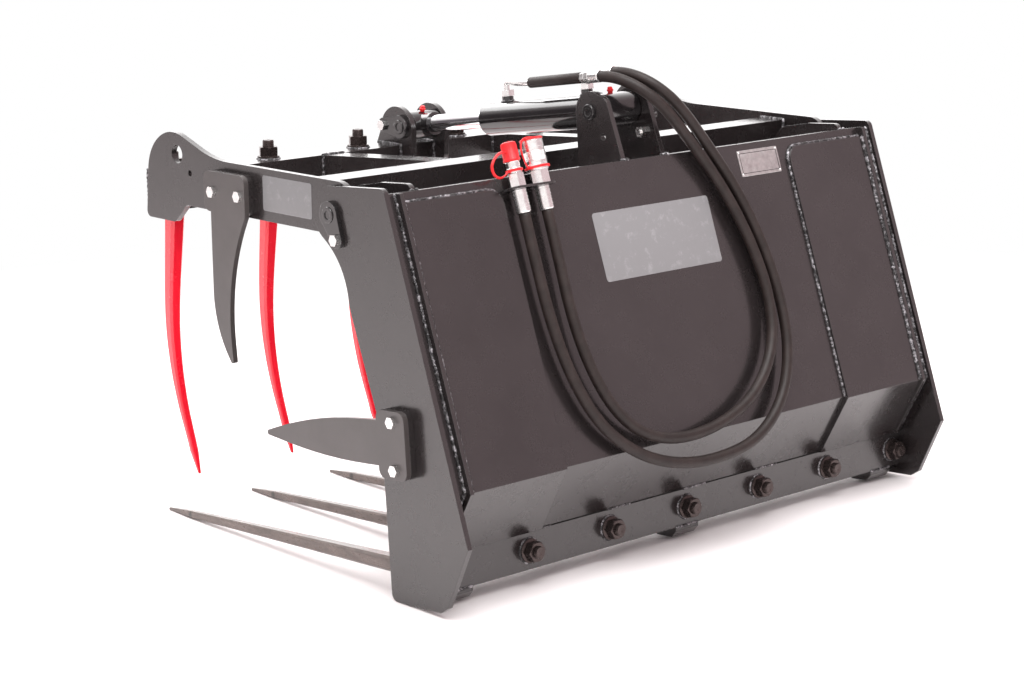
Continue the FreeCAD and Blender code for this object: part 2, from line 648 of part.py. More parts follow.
def hinge_plate(label):
    outline = [
        ("-hinge_y", "hinge_z + hinge_plate_nose"),
        ("-hinge_y + hinge_nose", "side_top", "side_corner"),
        (sheet_line("side_top", "-sheet_thick"), "side_top", "side_corner"),
        (sheet_line("hinge_plate_foot", "-sheet_thick"), "hinge_plate_foot"),
        ("-hinge_y - hinge_plate_nose * 0.5", "hinge_z - hinge_plate_nose * 0.86"),
    ]
    return plate(label, "hinge_plate_thick", outline,
                 [("-hinge_y", "hinge_z", "hinge_dia + 2 * seat_gap")],
                 [("-hinge_y", "hinge_z", "2 * hinge_plate_nose")])


def arm(label):
    outline = [
        ("arm_tail", "arm_top", "arm_tail_corner"),
        ("-arm_neck_y", "arm_top", "arm_neck_corner"),
        ("-arm_crown_y", "arm_crown", "arm_crown_corner"),
        ("-arm_brow_y", "arm_brow_z", "arm_crown_corner"),
        ("-arm_chin_y", "-arm_chin", "arm_chin_corner"),
        ("-arm_chin_rear", "-arm_chin", "arm_chin_corner"),
        ("-arm_notch_y", "-arm_bottom", "arm_chin_corner"),
        ("arm_tail", "-arm_bottom", "arm_tail_corner"),
    ]
    holes = [
        ("0", "0", "bush_dia"),
        ("-arm_big_hole_y", "arm_big_hole_z", "arm_big_hole"),
        ("-arm_small_hole_y", "arm_small_hole_z", "arm_small_hole"),
        ("-up_bolt_front", "up_bolt_z", "bolt_dia + 2 * hole_gap"),
        ("-up_bolt_back", "up_bolt_z", "bolt_dia + 2 * hole_gap"),
    ]
    return plate(label, "arm_thick", outline, holes)


def side_pair(make, thick, x, frame):
    """The same plate on the left, +X, and on the right; x is its inner face."""
    for side, at in [("left", x), ("right", -x - thick)]:
        place(make("%s_%s" % (make.__name__, side)), frame, at)


side_pair(side_plate, size("side_thick"), inner_face, FORK)
hinge_plate_at = inner_face - size("hinge_plate_inset") - size("hinge_plate_thick")
side_pair(hinge_plate, size("hinge_plate_thick"), hinge_plate_at, FORK)
side_pair(arm, size("arm_thick"), inner_face - size("arm_side_gap") - size("arm_thick"), GRAB)


# Back
def back_skin(label, start, width, outer, inner, top):
    """A folded skin down the back to the tine bar, between two offsets from the sheet's rear face."""
    def foot(off):
        return "(bar_rear + (%s) / cos(%s))" % (off, LOW_LEAN)
    outline = [(sheet_line(top, outer), top), fold_point(outer), (foot(outer), "bar_height / 2"),
               (foot(inner), "bar_height / 2"), fold_point(inner), (sheet_line(top, inner), top)]
    return plate(label, width, outline, lift=start)


place(back_skin("back_sheet", "-" + INNER, "2 * " + INNER, "0", "-sheet_thick", "sheet_top"), FORK)
back_pads = back_skin("back_pads", RIB_INNER + " - pad_width", "pad_width", "pad_thick", "0", "pad_top")
pad_inner = size("overall_width") / 2 - size("rib_inset") - size("rib_thick") - size("pad_width")
fillet(back_pads, "pad_corner", lambda a, b: max(abs(a.x - pad_inner), abs(a.x - b.x),
                                                 abs(a.z - size("pad_top")), abs(a.z - b.z)) < 1e-3)
mirrored(back_pads)
place(back_pads, FORK)
back_ribs = back_skin("back_ribs", RIB_INNER, "rib_thick", "rib_height", "0", "sheet_top")
mirrored(back_ribs)
place(back_ribs, FORK)

# Tine bar and its skid feet
place(box_tube("tine_bar", INNER, ("bar_rear - bar_depth", "-bar_height / 2"),
               ("bar_rear", "bar_height / 2"), "bar_wall",
               ("XZ_Plane", "0", LOWER_SPOTS)), FORK)
skid_feet = plate("skid_feet", "foot_width", [
    ("bar_rear", "-bar_height / 2"),
    ("bar_rear", "-bar_height / 2 - foot_height + foot_chamfer"),
    ("bar_rear - foot_chamfer", "-bar_height / 2 - foot_height"),
    ("bar_rear - foot_depth + foot_chamfer", "-bar_height / 2 - foot_height"),
    ("bar_rear - foot_depth", "-bar_height / 2 - foot_height + foot_chamfer"),
    ("bar_rear - foot_depth", "-bar_height / 2")],
    lift="foot_inset - %s - foot_width / 2" % INNER)
in_row(skid_feet, "(%s - foot_inset)" % INNER, "3")
place(skid_feet, FORK)


# Tines, their sleeves, washers and nuts, first drawn along -Y from the nut, then stood where they go
def tine_hardware(prefix, depth, rows, frame, start, quarter_turn):
    """Sleeves, washers and nuts in rows; depth is that of the tube they pass through."""
    nut_end = "%s / 2 + sleeve_nut_side" % depth
    tine_end = "-%s / 2 - sleeve_tine_side" % depth
    stand = FreeCAD.Placement(start, FreeCAD.Rotation(FreeCAD.Vector(1, 0, 0), quarter_turn))
    sleeve = new_body(prefix + "_sleeves")
    turned(sleeve, prefix + "_sleeve_profile", [
        ("seat_large + seat_gap", tine_end),
        ("sleeve_dia / 2", tine_end),
        ("sleeve_dia / 2", nut_end),
        ("seat_small + seat_gap", nut_end)])
    washer = new_body(prefix + "_washers")
    turned(washer, prefix + "_washer_profile", [
        ("thread_dia / 2 + seat_gap", nut_end),
        ("washer_dia / 2", nut_end),
        ("washer_dia / 2", "%s + washer_thick * 0.6" % nut_end),
        ("nut_flats / 2", "%s + washer_thick" % nut_end),
        ("thread_dia / 2 + seat_gap", "%s + washer_thick" % nut_end)])
    nut = new_body(prefix + "_nuts")
    nut_low = "%s + washer_thick" % nut_end
    nut_sketch = new_sketch(nut, prefix + "_nut_hexagon", "XZ_Plane",
                            "-(%s + nut_height)" % nut_low)
    draw_hexagon(nut_sketch, "0", "0", "nut_flats")
    draw_circle(nut_sketch, "0", "0", "thread_dia + 2 * thread_gap")
    pad(nut, nut_sketch, "nut_height")
    turned(nut, prefix + "_nut_edge", [
        ("nut_flats / 2", "%s + nut_height + 1" % nut_low),
        ("nut_flats / 2", "%s + nut_height" % nut_low),
        ("nut_flats * 0.6", "%s + nut_height - nut_flats * 0.1 * tan(30)" % nut_low),
        ("nut_flats * 0.6", "%s + nut_height + 1" % nut_low)], kind="PartDesign::Groove")
    for body in (sleeve, washer, nut):
        for pitch, count in rows:
            in_row(body, pitch, count)
        body.Placement = frame.multiply(stand)
        PARTS.append(body)


def tine_root(body, depth, proud):
    """The conical seat and the thread, turned round Y."""
    nut_end = "%s / 2 + sleeve_nut_side" % depth
    tine_end = "-%s / 2 - sleeve_tine_side" % depth
    thread_end = "%s + washer_thick + nut_height + %s" % (nut_end, proud)
    turned(body, body.Name + "_root", [
        ("0", tine_end),
        ("seat_large", tine_end),
        ("seat_small", nut_end),
        ("thread_dia / 2", nut_end),
        ("thread_dia / 2", "%s - 2" % thread_end),
        ("thread_dia / 2 - 2", thread_end),
        ("0", thread_end)])


def tine_loft(body, stations, ruled):
    """A loft through tine sections: each station has its Y, Z, tilt and half side."""
    sections = []
    for y, z, tilt_text, half in stations:
        sketch = new_sketch(body, "%s_section" % body.Name, "XZ_Plane")
        sketch.AttachmentOffset = FreeCAD.Placement(FreeCAD.Vector(0, 0, 0),
                                                    FreeCAD.Rotation(FreeCAD.Vector(1, 0, 0), 1))
        sketch.setExpression("AttachmentOffset.Base.y", bound(z))
        sketch.setExpression("AttachmentOffset.Base.z", bound("-(%s)" % y))
        sketch.setExpression("AttachmentOffset.Rotation.Angle", bound(tilt_text))
        draw_tine_section(sketch, half)
        sketch.Visibility = False
        sections.append(sketch)
    loft = body.newObject("PartDesign::AdditiveLoft", body.Name + "_loft")
    loft.Profile = sections[0]
    loft.Sections = sections[1:]
    loft.Ruled = ruled


bar_middle = size("bar_rear") - size("bar_depth") / 2
end_tine_x = size("overall_width") / 2 - size("end_tine_inset")
tine_hardware("lower_tine", "bar_depth", [(LOWER_PITCH, "tine_count")], FORK,
              FreeCAD.Vector(-end_tine_x, bar_middle, 0), 0)
for k in range(int(size("tine_count"))):
    tine = new_body("lower_tine_%d" % (k + 1))
    middle = "(bar_rear - bar_depth / 2)"
    tine_root(tine, "bar_depth", "thread_proud")
    tine_loft(tine, [
        ("-bar_depth / 2 - sleeve_tine_side", "0", "0", "tine_half"),
        ("-tine_taper_end - " + middle, "0", "0", "tip_half"),
        ("-tine_reach - " + middle, "0", "0", "tip_end")], True)
    row_x = end_tine_x * (1 - 2 * k / (size("tine_count") - 1))
    place(tine, FORK, row_x, bar_middle, 0)


def upper_tine(label):
    """A tine that leans forward out of its sleeve, bends back and ends in a point."""
    body = new_body(label)
    tine_root(body, "front_tube_height", "upper_proud")
    start = "(-front_tube_height / 2 - sleeve_tine_side)"
    arc = "(upper_radius * upper_bend * pi / 180)"
    total = "(upper_straight + %s + upper_run)" % arc
    bend_y = "(%s - upper_straight * cos(upper_lean))" % start
    bend_z = "(upper_straight * sin(upper_lean))"

    def half(length):
        return "(upper_half - (upper_half - tip_half) * (%s) / %s)" % (length, total)

    def on_bend(share):
        angle = "(upper_lean - upper_bend * %s)" % share
        return (
            "(%s - upper_radius * (sin(upper_lean) - sin(%s)))" % (bend_y, angle),
            "(%s + upper_radius * (cos(%s) - cos(upper_lean)))" % (bend_z, angle),
            angle, half("upper_straight + %s * %s" % (arc, share)))

    end_y, end_z, end_angle, end_half = on_bend("1")
    run_y = "(%s - upper_run * cos(%s))" % (end_y, end_angle)
    run_z = "(%s + upper_run * sin(%s))" % (end_z, end_angle)
    tip_y = "(%s - upper_point * cos(%s))" % (run_y, end_angle)
    tip_z = "(%s + upper_point * sin(%s))" % (run_z, end_angle)
    stations = [(start, "0", "0", "upper_half"),
                ("%s - upper_neck * cos(upper_lean)" % start, "upper_neck * sin(upper_lean)",
                 "upper_lean", half("upper_neck"))]
    stations += [on_bend(share) for share in ("0", "0.25", "0.5", "0.75", "1")]
    stations.append((run_y, run_z, end_angle, "tip_half"))
    tine_loft(body, stations, False)
    tine_loft(body, [stations[-1], (tip_y, tip_z, end_angle, "tip_end")], True)
    return body


front_middle = size("front_tube_top") - size("front_tube_height") / 2
end_upper_x = size("overall_width") / 2 - size("upper_inset")
upper_pitch = (end_upper_x - size("upper_inner")) / (size("upper_side_count") - 1)
tine_hardware("upper_tine", "front_tube_height",
              [(UPPER_PITCH, "upper_side_count"), (UPPER_SHIFT, "2")], GRAB,
              FreeCAD.Vector(-end_upper_x, -size("front_tube_y"), front_middle), 90)
upright = FreeCAD.Rotation(FreeCAD.Vector(1, 0, 0), 90)
left_row = [end_upper_x - k * upper_pitch for k in range(int(size("upper_side_count")))]
for k, row_x in enumerate(left_row + [-x for x in reversed(left_row)]):
    tine = upper_tine("upper_tine_%d" % (k + 1))
    stand = FreeCAD.Placement(FreeCAD.Vector(row_x, -size("front_tube_y"), front_middle), upright)
    tine.Placement = GRAB.multiply(stand)
    PARTS.append(tine)

# Grab frame
arm_inner = INNER + " - arm_side_gap - arm_thick"
place(box_tube("front_tube", arm_inner,
               ("(-front_tube_y - front_tube_depth / 2)", "(front_tube_top - front_tube_height)"),
               ("(-front_tube_y + front_tube_depth / 2)", "front_tube_top"), "tube_wall",
               ("XY_Plane", "-front_tube_y", UPPER_SPOTS)), GRAB)
place(box_tube("rear_tube", arm_inner,
               ("(-rear_tube_y - rear_tube_side)", "(rear_tube_top - rear_tube_side)"),
               ("(-rear_tube_y)", "rear_tube_top"), "tube_wall"), GRAB)
brace_front = "-front_tube_y + front_tube_depth / 2"
brace_rear = "-rear_tube_y - rear_tube_side"
brace_top = "rear_tube_top - brace_sink"
brace_tubes = plate("brace_tubes", "brace_width", [
    (brace_front, "front_tube_top - brace_height"), (brace_rear, brace_top + " - brace_height"),
    (brace_rear, brace_top), (brace_front, "front_tube_top")],
    lift="brace_x - brace_width / 2")
brace_bore = new_sketch(brace_tubes, "brace_tubes_bore", lift="brace_x")
draw_outline(brace_bore, [
    (brace_front, "front_tube_top - brace_height + tube_wall"),
    (brace_rear, brace_top + " - brace_height + tube_wall"),
    (brace_rear, brace_top + " - tube_wall"), (brace_front, "front_tube_top - tube_wall")])
pocket(brace_tubes, brace_bore, "brace_width - 2 * tube_wall")
mirrored(brace_tubes)
place(brace_tubes, GRAB)

# Hinge: bushes on the arms, and pins with flags outside the side plates
bush_length = "hinge_plate_inset - 2 * bush_side_gap"
bush_start = INNER + " - hinge_plate_inset + bush_side_gap"
hinge_bushes = rod_along_x("hinge_bushes", [("0", "0", "bush_dia", bush_start, bush_length)])
bush_bore = new_sketch(hinge_bushes, "hinge_bushes_bore")
draw_circle(bush_bore, "0", "0", "hinge_dia + 2 * running_gap")
pocket(hinge_bushes, bush_bore)
mirrored(hinge_bushes)
place(hinge_bushes, GRAB)

hinge_bolt = ("-hinge_y + flag_bolt_y", "hinge_z - flag_bolt_z")
pin_start = INNER + " - hinge_plate_inset - hinge_plate_thick - pin_proud"
pin_length = "hinge_plate_inset + hinge_plate_thick + pin_proud + side_thick + flag_thick"
hinge_pins = rod_along_x("hinge_pins", [("-hinge_y", "hinge_z", "hinge_dia", pin_start, pin_length)])
flag(hinge_pins, ("-hinge_y", "hinge_z"), hinge_bolt, "overall_width / 2")
mirrored(hinge_pins)
place(hinge_pins, FORK)
pin_bolts = new_body("pin_bolts")
bolts(pin_bolts, [hinge_bolt], "overall_width / 2 + flag_thick", "flag_thick + side_thick")
mirrored(pin_bolts)

# Side blades
low_spots = [("-low_bolt_y", "low_bolt_high"), ("-low_bolt_y", "low_bolt_low")]
up_spots = [("-up_bolt_front", "up_bolt_z"), ("-up_bolt_back", "up_bolt_z")]
bolt_hole = "bolt_dia + 2 * hole_gap"
low_corners = [("low_blade_back", "low_blade_top", "blade_corner"),
               ("low_blade_back", "low_blade_bottom", "blade_corner"),
               ("-low_blade_front", "low_blade_bottom", "blade_corner"),
               ("-low_blade_front", "low_blade_top", "blade_corner")]
low_point = [("-low_blade_front", "low_blade_root_low"),
             ("-low_blade_belly_y", "low_blade_belly", "low_blade_belly_corner"),
             ("-low_blade_tip_y", "low_blade_tip_z - blade_tip_corner", "blade_tip_corner"),
             ("-low_blade_tip_y", "low_blade_tip_z + blade_tip_corner", "blade_tip_corner"),
             ("-low_blade_mid_y", "low_blade_mid_top", "low_blade_mid_corner"),
             ("-low_blade_front", "low_blade_root_top")]
up_corners = [("-up_blade_back", "up_blade_top", "blade_corner"),
              ("-up_blade_back", "-up_blade_low", "blade_corner"),
              ("-up_blade_front", "-up_blade_low", "blade_corner"),
              ("-up_blade_front", "up_blade_top", "blade_corner")]
up_point = [("-up_blade_heel_y", "-up_blade_heel_z", "up_blade_heel_corner"),
            ("-up_blade_tip_y", "-up_blade_tip_z", "blade_tip_corner"),
            ("-up_blade_root_front", "-up_blade_mid_z", "up_blade_mid_corner"),
            ("-up_blade_root_front", "-up_blade_low")]


def side_blade(prefix, outline, corners, spots, inside, frame, nut_face):
    """A blade bolted on over a spacer, both sides; inside is the face that the spacer lies on."""
    holes = [(y, z, bolt_hole) for y, z in spots]
    spacer = plate(prefix + "_spacers", "spacer_thick", corners, holes, lift=inside)
    blade = plate(prefix + "s", "blade_thick", outline, holes, lift=inside + " + spacer_thick")
    head_at = inside + " + spacer_thick + blade_thick"
    bolt_set = new_body(prefix + "_bolts")
    bolts(bolt_set, spots, head_at, "%s - (%s) + bolt_nut + bolt_proud" % (head_at, nut_face),
          nut_face)
    for body in (spacer, blade, bolt_set):
        mirrored(body)
        place(body, frame)


side_blade("lower_blade", low_corners[:3] + low_point + low_corners[3:], low_corners, low_spots,
           "overall_width / 2", FORK, INNER)
side_blade("upper_blade", up_corners[:2] + up_point + up_corners[2:], up_corners, up_spots,
           INNER + " - arm_side_gap", GRAB, arm_inner)

# Brackets of the cylinder, with their pins
ears = plate("cylinder_ears", "ear_thick", [
    ("-rear_pin_y - ear_radius", "rear_pin_z"),
    ("-rear_pin_y - ear_radius", "ear_chin", "ear_corner"),
    (sheet_line("ear_foot", "-sheet_thick"), "ear_foot"),
    (sheet_line("sheet_top", "-sheet_thick"), "sheet_top"),
    ("-ear_back_y", "ear_back_z", "ear_corner"),
    ("-rear_pin_y", "rear_pin_z + ear_radius")],
    [("-rear_pin_y", "rear_pin_z", "pin_dia + 2 * seat_gap"),
     ("-rear_pin_y + ear_bolt_y", "rear_pin_z - ear_bolt_z", "bolt_dia")],
    [("-rear_pin_y", "rear_pin_z", "2 * ear_radius")], lift="ear_gap / 2")
mirrored(ears)
place(ears, FORK)
rear_pin = rod_along_x("rear_pin", [
    ("-rear_pin_y", "rear_pin_z", "pin_dia", "-ear_gap / 2 - ear_thick - flag_thick",
     "ear_gap + 2 * ear_thick + flag_thick + pin_proud")])
rear_bolt = ("-rear_pin_y + ear_bolt_y", "rear_pin_z - ear_bolt_z")
flag(rear_pin, ("-rear_pin_y", "rear_pin_z"), rear_bolt, "-ear_gap / 2 - ear_thick - flag_thick")
place(rear_pin, FORK)

rear_head = "-ear_gap / 2 - ear_thick - flag_thick - bolt_head"
for name, lift, length in [("rear_head", rear_head, "bolt_head"),
                           ("rear_shank", rear_head + " + bolt_head",
                            "ear_thick + flag_thick + bolt_nut + bolt_proud"),
                           ("rear_nut", "-ear_gap / 2", "bolt_nut")]:
    sketch = new_sketch(pin_bolts, name, lift=lift)
    if name == "rear_shank":
        draw_circle(sketch, rear_bolt[0], rear_bolt[1], "bolt_dia")
    else:
        draw_hexagon(sketch, rear_bolt[0], rear_bolt[1], "bolt_flats")
    pad(pin_bolts, sketch, length)
place(pin_bolts, FORK)

rod_bolt = ("-rod_pin_y - lug_bolt_y", "rod_pin_z")
head_y = "-rod_pin_y - lug_head_y"
head_z = "rod_pin_z - lug_head_z"
tube_rear = "-front_tube_y + front_tube_depth / 2"
lugs = plate("rod_lugs", "lug_thick", [
    ("-front_tube_y - front_tube_depth / 2 + lug_set_back", "front_tube_top"),
    (tube_rear, "front_tube_top"),
    (tube_rear, "front_tube_top - lug_foot"),
    (tube_rear + " + lug_foot_depth", "front_tube_top - lug_foot", "arm_chin_corner"),
    (head_y + " + lug_radius", head_z),
    (head_y + " - lug_radius", head_z)],
    [("-rod_pin_y", "rod_pin_z", "pin_dia + 2 * seat_gap"), rod_bolt + ("bolt_dia",)],
    [(head_y, head_z, "2 * lug_radius")], lift="lug_gap / 2")
lug_seat = new_sketch(lugs, "rod_lugs_seat")
draw_outline(lug_seat, [
    ("-front_tube_y - front_tube_depth / 2", "front_tube_top - front_tube_height"),
    (tube_rear, "front_tube_top - front_tube_height"),
    (tube_rear, "front_tube_top"),
    ("-front_tube_y - front_tube_depth / 2", "front_tube_top")])
pocket(lugs, lug_seat)
mirrored(lugs)
place(lugs, GRAB)
rod_pin = rod_along_x("rod_pin", [
    ("-rod_pin_y", "rod_pin_z", "pin_dia", "-lug_gap / 2 - lug_thick - pin_proud",
     "lug_gap + 2 * lug_thick + pin_proud + flag_thick")])
flag(rod_pin, ("-rod_pin_y", "rod_pin_z"), rod_bolt, "lug_gap / 2 + lug_thick")
place(rod_pin, GRAB)
rod_pin_bolt = new_body("rod_pin_bolt")
bolts(rod_pin_bolt, [rod_bolt], "lug_gap / 2 + lug_thick + flag_thick", "flag_thick + lug_thick")
place(rod_pin_bolt, GRAB)


# Cylinder, drawn along -Y from its rear pin
def eye(label, outer, bore, length, neck_dia, neck, toward):
    """A cross tube along X with a round neck along Y."""
    body = rod_along_x(label, [("0", "0", outer, "-(%s) / 2" % length, length)])
    turned(body, label + "_neck", [("0", "0"), ("%s / 2" % neck_dia, "0"),
                                   ("%s / 2" % neck_dia, "%s * %s" % (toward, neck)),
                                   ("0", "%s * %s" % (toward, neck))])
    bore_sketch = new_sketch(body, label + "_bore")
    draw_circle(bore_sketch, "0", "0", bore)
    pocket(body, bore_sketch)
    return body


place(eye("rear_eye", "eye_dia", "pin_dia + 2 * running_gap", "ear_gap - 2 * pin_side_gap",
          "(barrel_dia - 6)", "eye_neck", "-1"), CYLINDER)
barrel = new_body("barrel")
turned(barrel, "barrel_profile", [
    ("0", "-eye_neck"),
    ("barrel_dia / 2", "-eye_neck"),
    ("barrel_dia / 2", "-barrel_end"),
    (BORE + " / 2", "-barrel_end"),
    (BORE + " / 2", "-eye_neck - barrel_floor"),
    ("0", "-eye_neck - barrel_floor")])
port_holes = new_sketch(barrel, "barrel_ports", "XY_Plane", "barrel_dia / 2")
draw_circle(port_holes, "0", "-port_front", "port_dia")
draw_circle(port_holes, "0", "-port_rear", "port_dia")
pocket(barrel, port_holes, "barrel_dia / 2")
place(barrel, CYLINDER)
gland = new_body("gland")
turned(gland, "gland_profile", [
    ("rod_dia / 2 + slide_gap", "-barrel_end + gland_length"),
    (BORE + " / 2", "-barrel_end + gland_length"),
    (BORE + " / 2", "-barrel_end"),
    ("gland_lip_dia / 2", "-barrel_end"),
    ("gland_lip_dia / 2", "-barrel_end - gland_lip + 2"),
    ("gland_lip_dia / 2 - 2", "-barrel_end - gland_lip"),
    ("rod_dia / 2 + slide_gap", "-barrel_end - gland_lip")])
place(gland, CYLINDER)
ports = new_body("port_bosses")
for name, at in [("front", "port_front"), ("rear", "port_rear")]:
    boss = new_sketch(ports, "port_boss_" + name, "XY_Plane", BORE + " / 2 + 1")
    draw_circle(boss, "0", "-" + at, "port_dia")
    pad(ports, boss, "barrel_wall - 1 + port_height")
    hexagon = new_sketch(ports, "port_hexagon_" + name, "XY_Plane", "barrel_dia / 2 + port_height")
    draw_hexagon(hexagon, "0", "-" + at, "fitting_flats")
    pad(ports, hexagon, "fitting_height")
ports.Placement = CYLINDER
rod = new_body("piston_rod")
neck_end = "%r" % (reach.Length - size("rod_neck"))
turned(rod, "rod_profile", [
    ("0", "-piston_at + piston_length / 2"),
    (BORE + " / 2 - slide_gap", "-piston_at + piston_length / 2"),
    (BORE + " / 2 - slide_gap", "-piston_at - piston_length / 2"),
    ("rod_dia / 2", "-piston_at - piston_length / 2"),
    ("rod_dia / 2", "-" + neck_end),
    ("0", "-" + neck_end)])
place(rod, CYLINDER)
place(eye("rod_eye", "rod_eye_dia", "rod_eye_bore", "rod_eye_length", "rod_neck_dia", "rod_neck", "1"),
      CYLINDER, 0, -reach.Length, 0)


# Swept round runs: the transfer pipe, the elbow and the hoses
def rounded_run(points, label):
    """A wire of straight runs joined by tangent arcs; the radii are printed."""
    radii = []
    edges = []
    at = points[0]
    for before, corner, after in zip(points, points[1:], points[2:]):
        back = before.sub(corner)
        on = after.sub(corner)
        half_turn = (math.pi - back.getAngle(on)) / 2
        setback = 0.45 * min(back.Length, on.Length)
        if half_turn < 1e-4:
            continue
        radius = setback / math.tan(half_turn)
        radii.append(round(radius))
        start = corner.add(FreeCAD.Vector(back).normalize().multiply(setback))
        end = corner.add(FreeCAD.Vector(on).normalize().multiply(setback))
        inward = FreeCAD.Vector(back).normalize().add(FreeCAD.Vector(on).normalize()).normalize()
        middle = corner.add(inward.multiply(radius / math.cos(half_turn) - radius))
        edges.append(Part.LineSegment(at, start).toShape())
        edges.append(Part.Arc(start, middle, end).toShape())
        at = end
    edges.append(Part.LineSegment(at, points[-1]).toShape())
    print(label, "bend radii", radii)
    return Part.Wire(edges)


def round_tube(label, points, diameter, others=()):
    """A solid tube along the run, fused with the shapes it is fixed to, where there are any."""
    wire = rounded_run(points, label)
    circle = Part.Circle(points[0], points[1].sub(points[0]), diameter / 2)
    tube = doc.addObject("Part::Feature", label)
    tube.Label = label
    tube.Shape = wire.makePipeShell([Part.Wire(circle.toShape())], True, False)
    if others:
        tube.Shape = tube.Shape.fuse(list(others)).removeSplitter()
    return tube


def on_cylinder(points):
    return [CYLINDER.multVec(FreeCAD.Vector(*point)) for point in points]


pipe_side = size("pipe_side")
pipe_top = size("pipe_height")
hex_top = size("barrel_dia") / 2 + size("port_height") + size("fitting_height")
sleeve_front = size("pipe_end") + size("pipe_union") + size("pipe_sleeve")
pipe_exit = (pipe_side, -size("pipe_end"), pipe_top)
elbow_exit = (-size("elbow_side"), -size("elbow_end"), size("elbow_height"))
pipe_sleeve = Part.makeCylinder(size("pipe_sleeve_dia") / 2, size("pipe_sleeve"),
                                FreeCAD.Vector(pipe_side, -sleeve_front, pipe_top),
                                FreeCAD.Vector(0, 1, 0))
pipe_sleeve.Placement = CYLINDER.multiply(pipe_sleeve.Placement)
PARTS.append(round_tube("transfer_pipe", on_cylinder([
    (0, -size("port_front"), hex_top),
    (0, -size("port_front"), pipe_top + size("pipe_lift")),
    (pipe_side, -sleeve_front - size("pipe_bend"), pipe_top),
    pipe_exit]), size("pipe_dia"), [pipe_sleeve]))
doc.recompute()
fittings = Part.Shape(ports.Shape)
elbow = round_tube("rear_elbow", on_cylinder([
    (0, -size("port_rear"), hex_top - size("elbow_seat")),
    (0, -size("port_rear"), size("elbow_height")),
    (elbow_exit[0], elbow_exit[1] - size("elbow_lead"), elbow_exit[2]),
    elbow_exit]), size("elbow_dia"), fittings.Solids)
elbow.Label = "port_fittings"
PARTS.append(elbow)

male_x = pad_inner - size("coupler_inset")
coupler_off = size("coupler_stand") / math.cos(lean)
coupler_y = (size("fold_y") + coupler_off
             - (size("ferrule_low") - size("fold_z")) * math.tan(lean))
for label, start, route, x in [
        ("male_hose", elbow_exit, MALE_HOSE, male_x),
        ("female_hose", pipe_exit, FEMALE_HOSE, male_x - size("coupler_pitch"))]:
    points = on_cylinder([(start[0], start[1] + size("hose_gap"), start[2]),
                          (start[0], start[1] + size("hose_lead"), start[2])])
    points += [FORK.multVec(FreeCAD.Vector(*p)) for p in route]
    points.append(FORK.multVec(FreeCAD.Vector(x, coupler_y, size("ferrule_low") - size("hose_gap"))))
    PARTS.append(round_tube(label, points, size("hose_dia")))

# Couplers, drawn upright from the lower end of their ferrules
along_sheet = FreeCAD.Placement(FreeCAD.Vector(0, coupler_y, size("ferrule_low")),
                                FreeCAD.Rotation(FreeCAD.Vector(1, 0, 0), size("back_lean")))
COUPLERS = FORK.multiply(along_sheet)
hex_low = "ferrule_length + holder_thick"
body_low = hex_low + " + coupler_hex"
for name in ("male", "female"):
    coupler = new_body(name + "_coupler")
    for part, lift, length, diameter in [
            ("ferrule", "0", "ferrule_length", "ferrule_dia"),
            ("neck", "ferrule_length", "holder_thick", "neck_dia"),
            ("body", body_low, "coupler_body", name + "_dia")]:
        section = new_sketch(coupler, "%s_%s" % (name, part), "XY_Plane", lift)
        draw_circle(section, "0", "0", diameter)
        pad(coupler, section, length)
    hexagon = new_sketch(coupler, name + "_hexagon", "XY_Plane", hex_low)
    draw_hexagon(hexagon, "0", "0", name + "_flats")
    pad(coupler, hexagon, "coupler_hex")
    place(coupler, COUPLERS, male_x - (size("coupler_pitch") if name == "female" else 0))
dust_caps = new_body("dust_caps")
cap_low = body_low + " + coupler_body - cap_height"
cap = new_sketch(dust_caps, "male_cap", "XY_Plane", cap_low)
draw_circle(cap, MALE_X, "0", "male_dia + 2 * cap_wall")
pad(dust_caps, cap, "cap_height + cap_wall")
hollow = new_sketch(dust_caps, "male_cap_hollow", "XY_Plane", body_low + " + coupler_body")
draw_circle(hollow, MALE_X, "0", "male_dia")
cut = dust_caps.newObject("PartDesign::Pocket", "male_cap_hollow_cut")
cut.Profile = hollow
cut.setExpression("Length", bound("cap_height"))
lid = new_sketch(dust_caps, "female_lid", "XY_Plane", body_low + " + coupler_body")
draw_circle(lid, COUPLER_X["female"], "0", "female_dia")
pad(dust_caps, lid, "lid_thick")
place(dust_caps, COUPLERS)
holder = new_body("coupler_holder")
holder_sketch = new_sketch(holder, "holder_outline", "XY_Plane", "ferrule_length")
left_x = "%s + (holder_width - coupler_pitch) / 2" % MALE_X
right_x = "%s - (holder_width + coupler_pitch) / 2" % MALE_X
rear_y = "holder_depth - coupler_stand"
draw_outline(holder_sketch, [(right_x, "-coupler_stand"), (left_x, "-coupler_stand"),
                             (left_x, rear_y), (right_x, rear_y)])
for spot in COUPLER_X.values():
    draw_circle(holder_sketch, spot, "0", "neck_dia")
pad(holder, holder_sketch, "holder_thick")
holder_rear = size("holder_depth") - size("coupler_stand")
fillet(holder, "side_corner", lambda a, b: abs(a.y - holder_rear) < 1e-3 and abs(a.z - b.z) > 1)
place(holder, COUPLERS)

doc.recompute()
os.makedirs("parts", exist_ok=True)
for item in doc.Objects:
    if "Invalid" in item.State or "Error" in item.State:
        raise RuntimeError("%s did not build: %s" % (item.Label, item.State))
for item in PARTS:
    if item.Shape.isNull() or not item.Shape.isValid():
        raise RuntimeError("%s has no sound shape" % item.Label)
for item in PARTS:
    item.Shape.exportStep("parts/%s.step" % item.Label)
print(len(PARTS), "parts,", "hinge", hinge_at, "rear pin", rear_pin_at, "rod pin", rod_pin_at)
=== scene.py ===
"""Looks of the manure grapple: paint, weld beads, hoses, films and studio light."""
import json
import math
import random

import bpy
from mathutils import Matrix, Vector


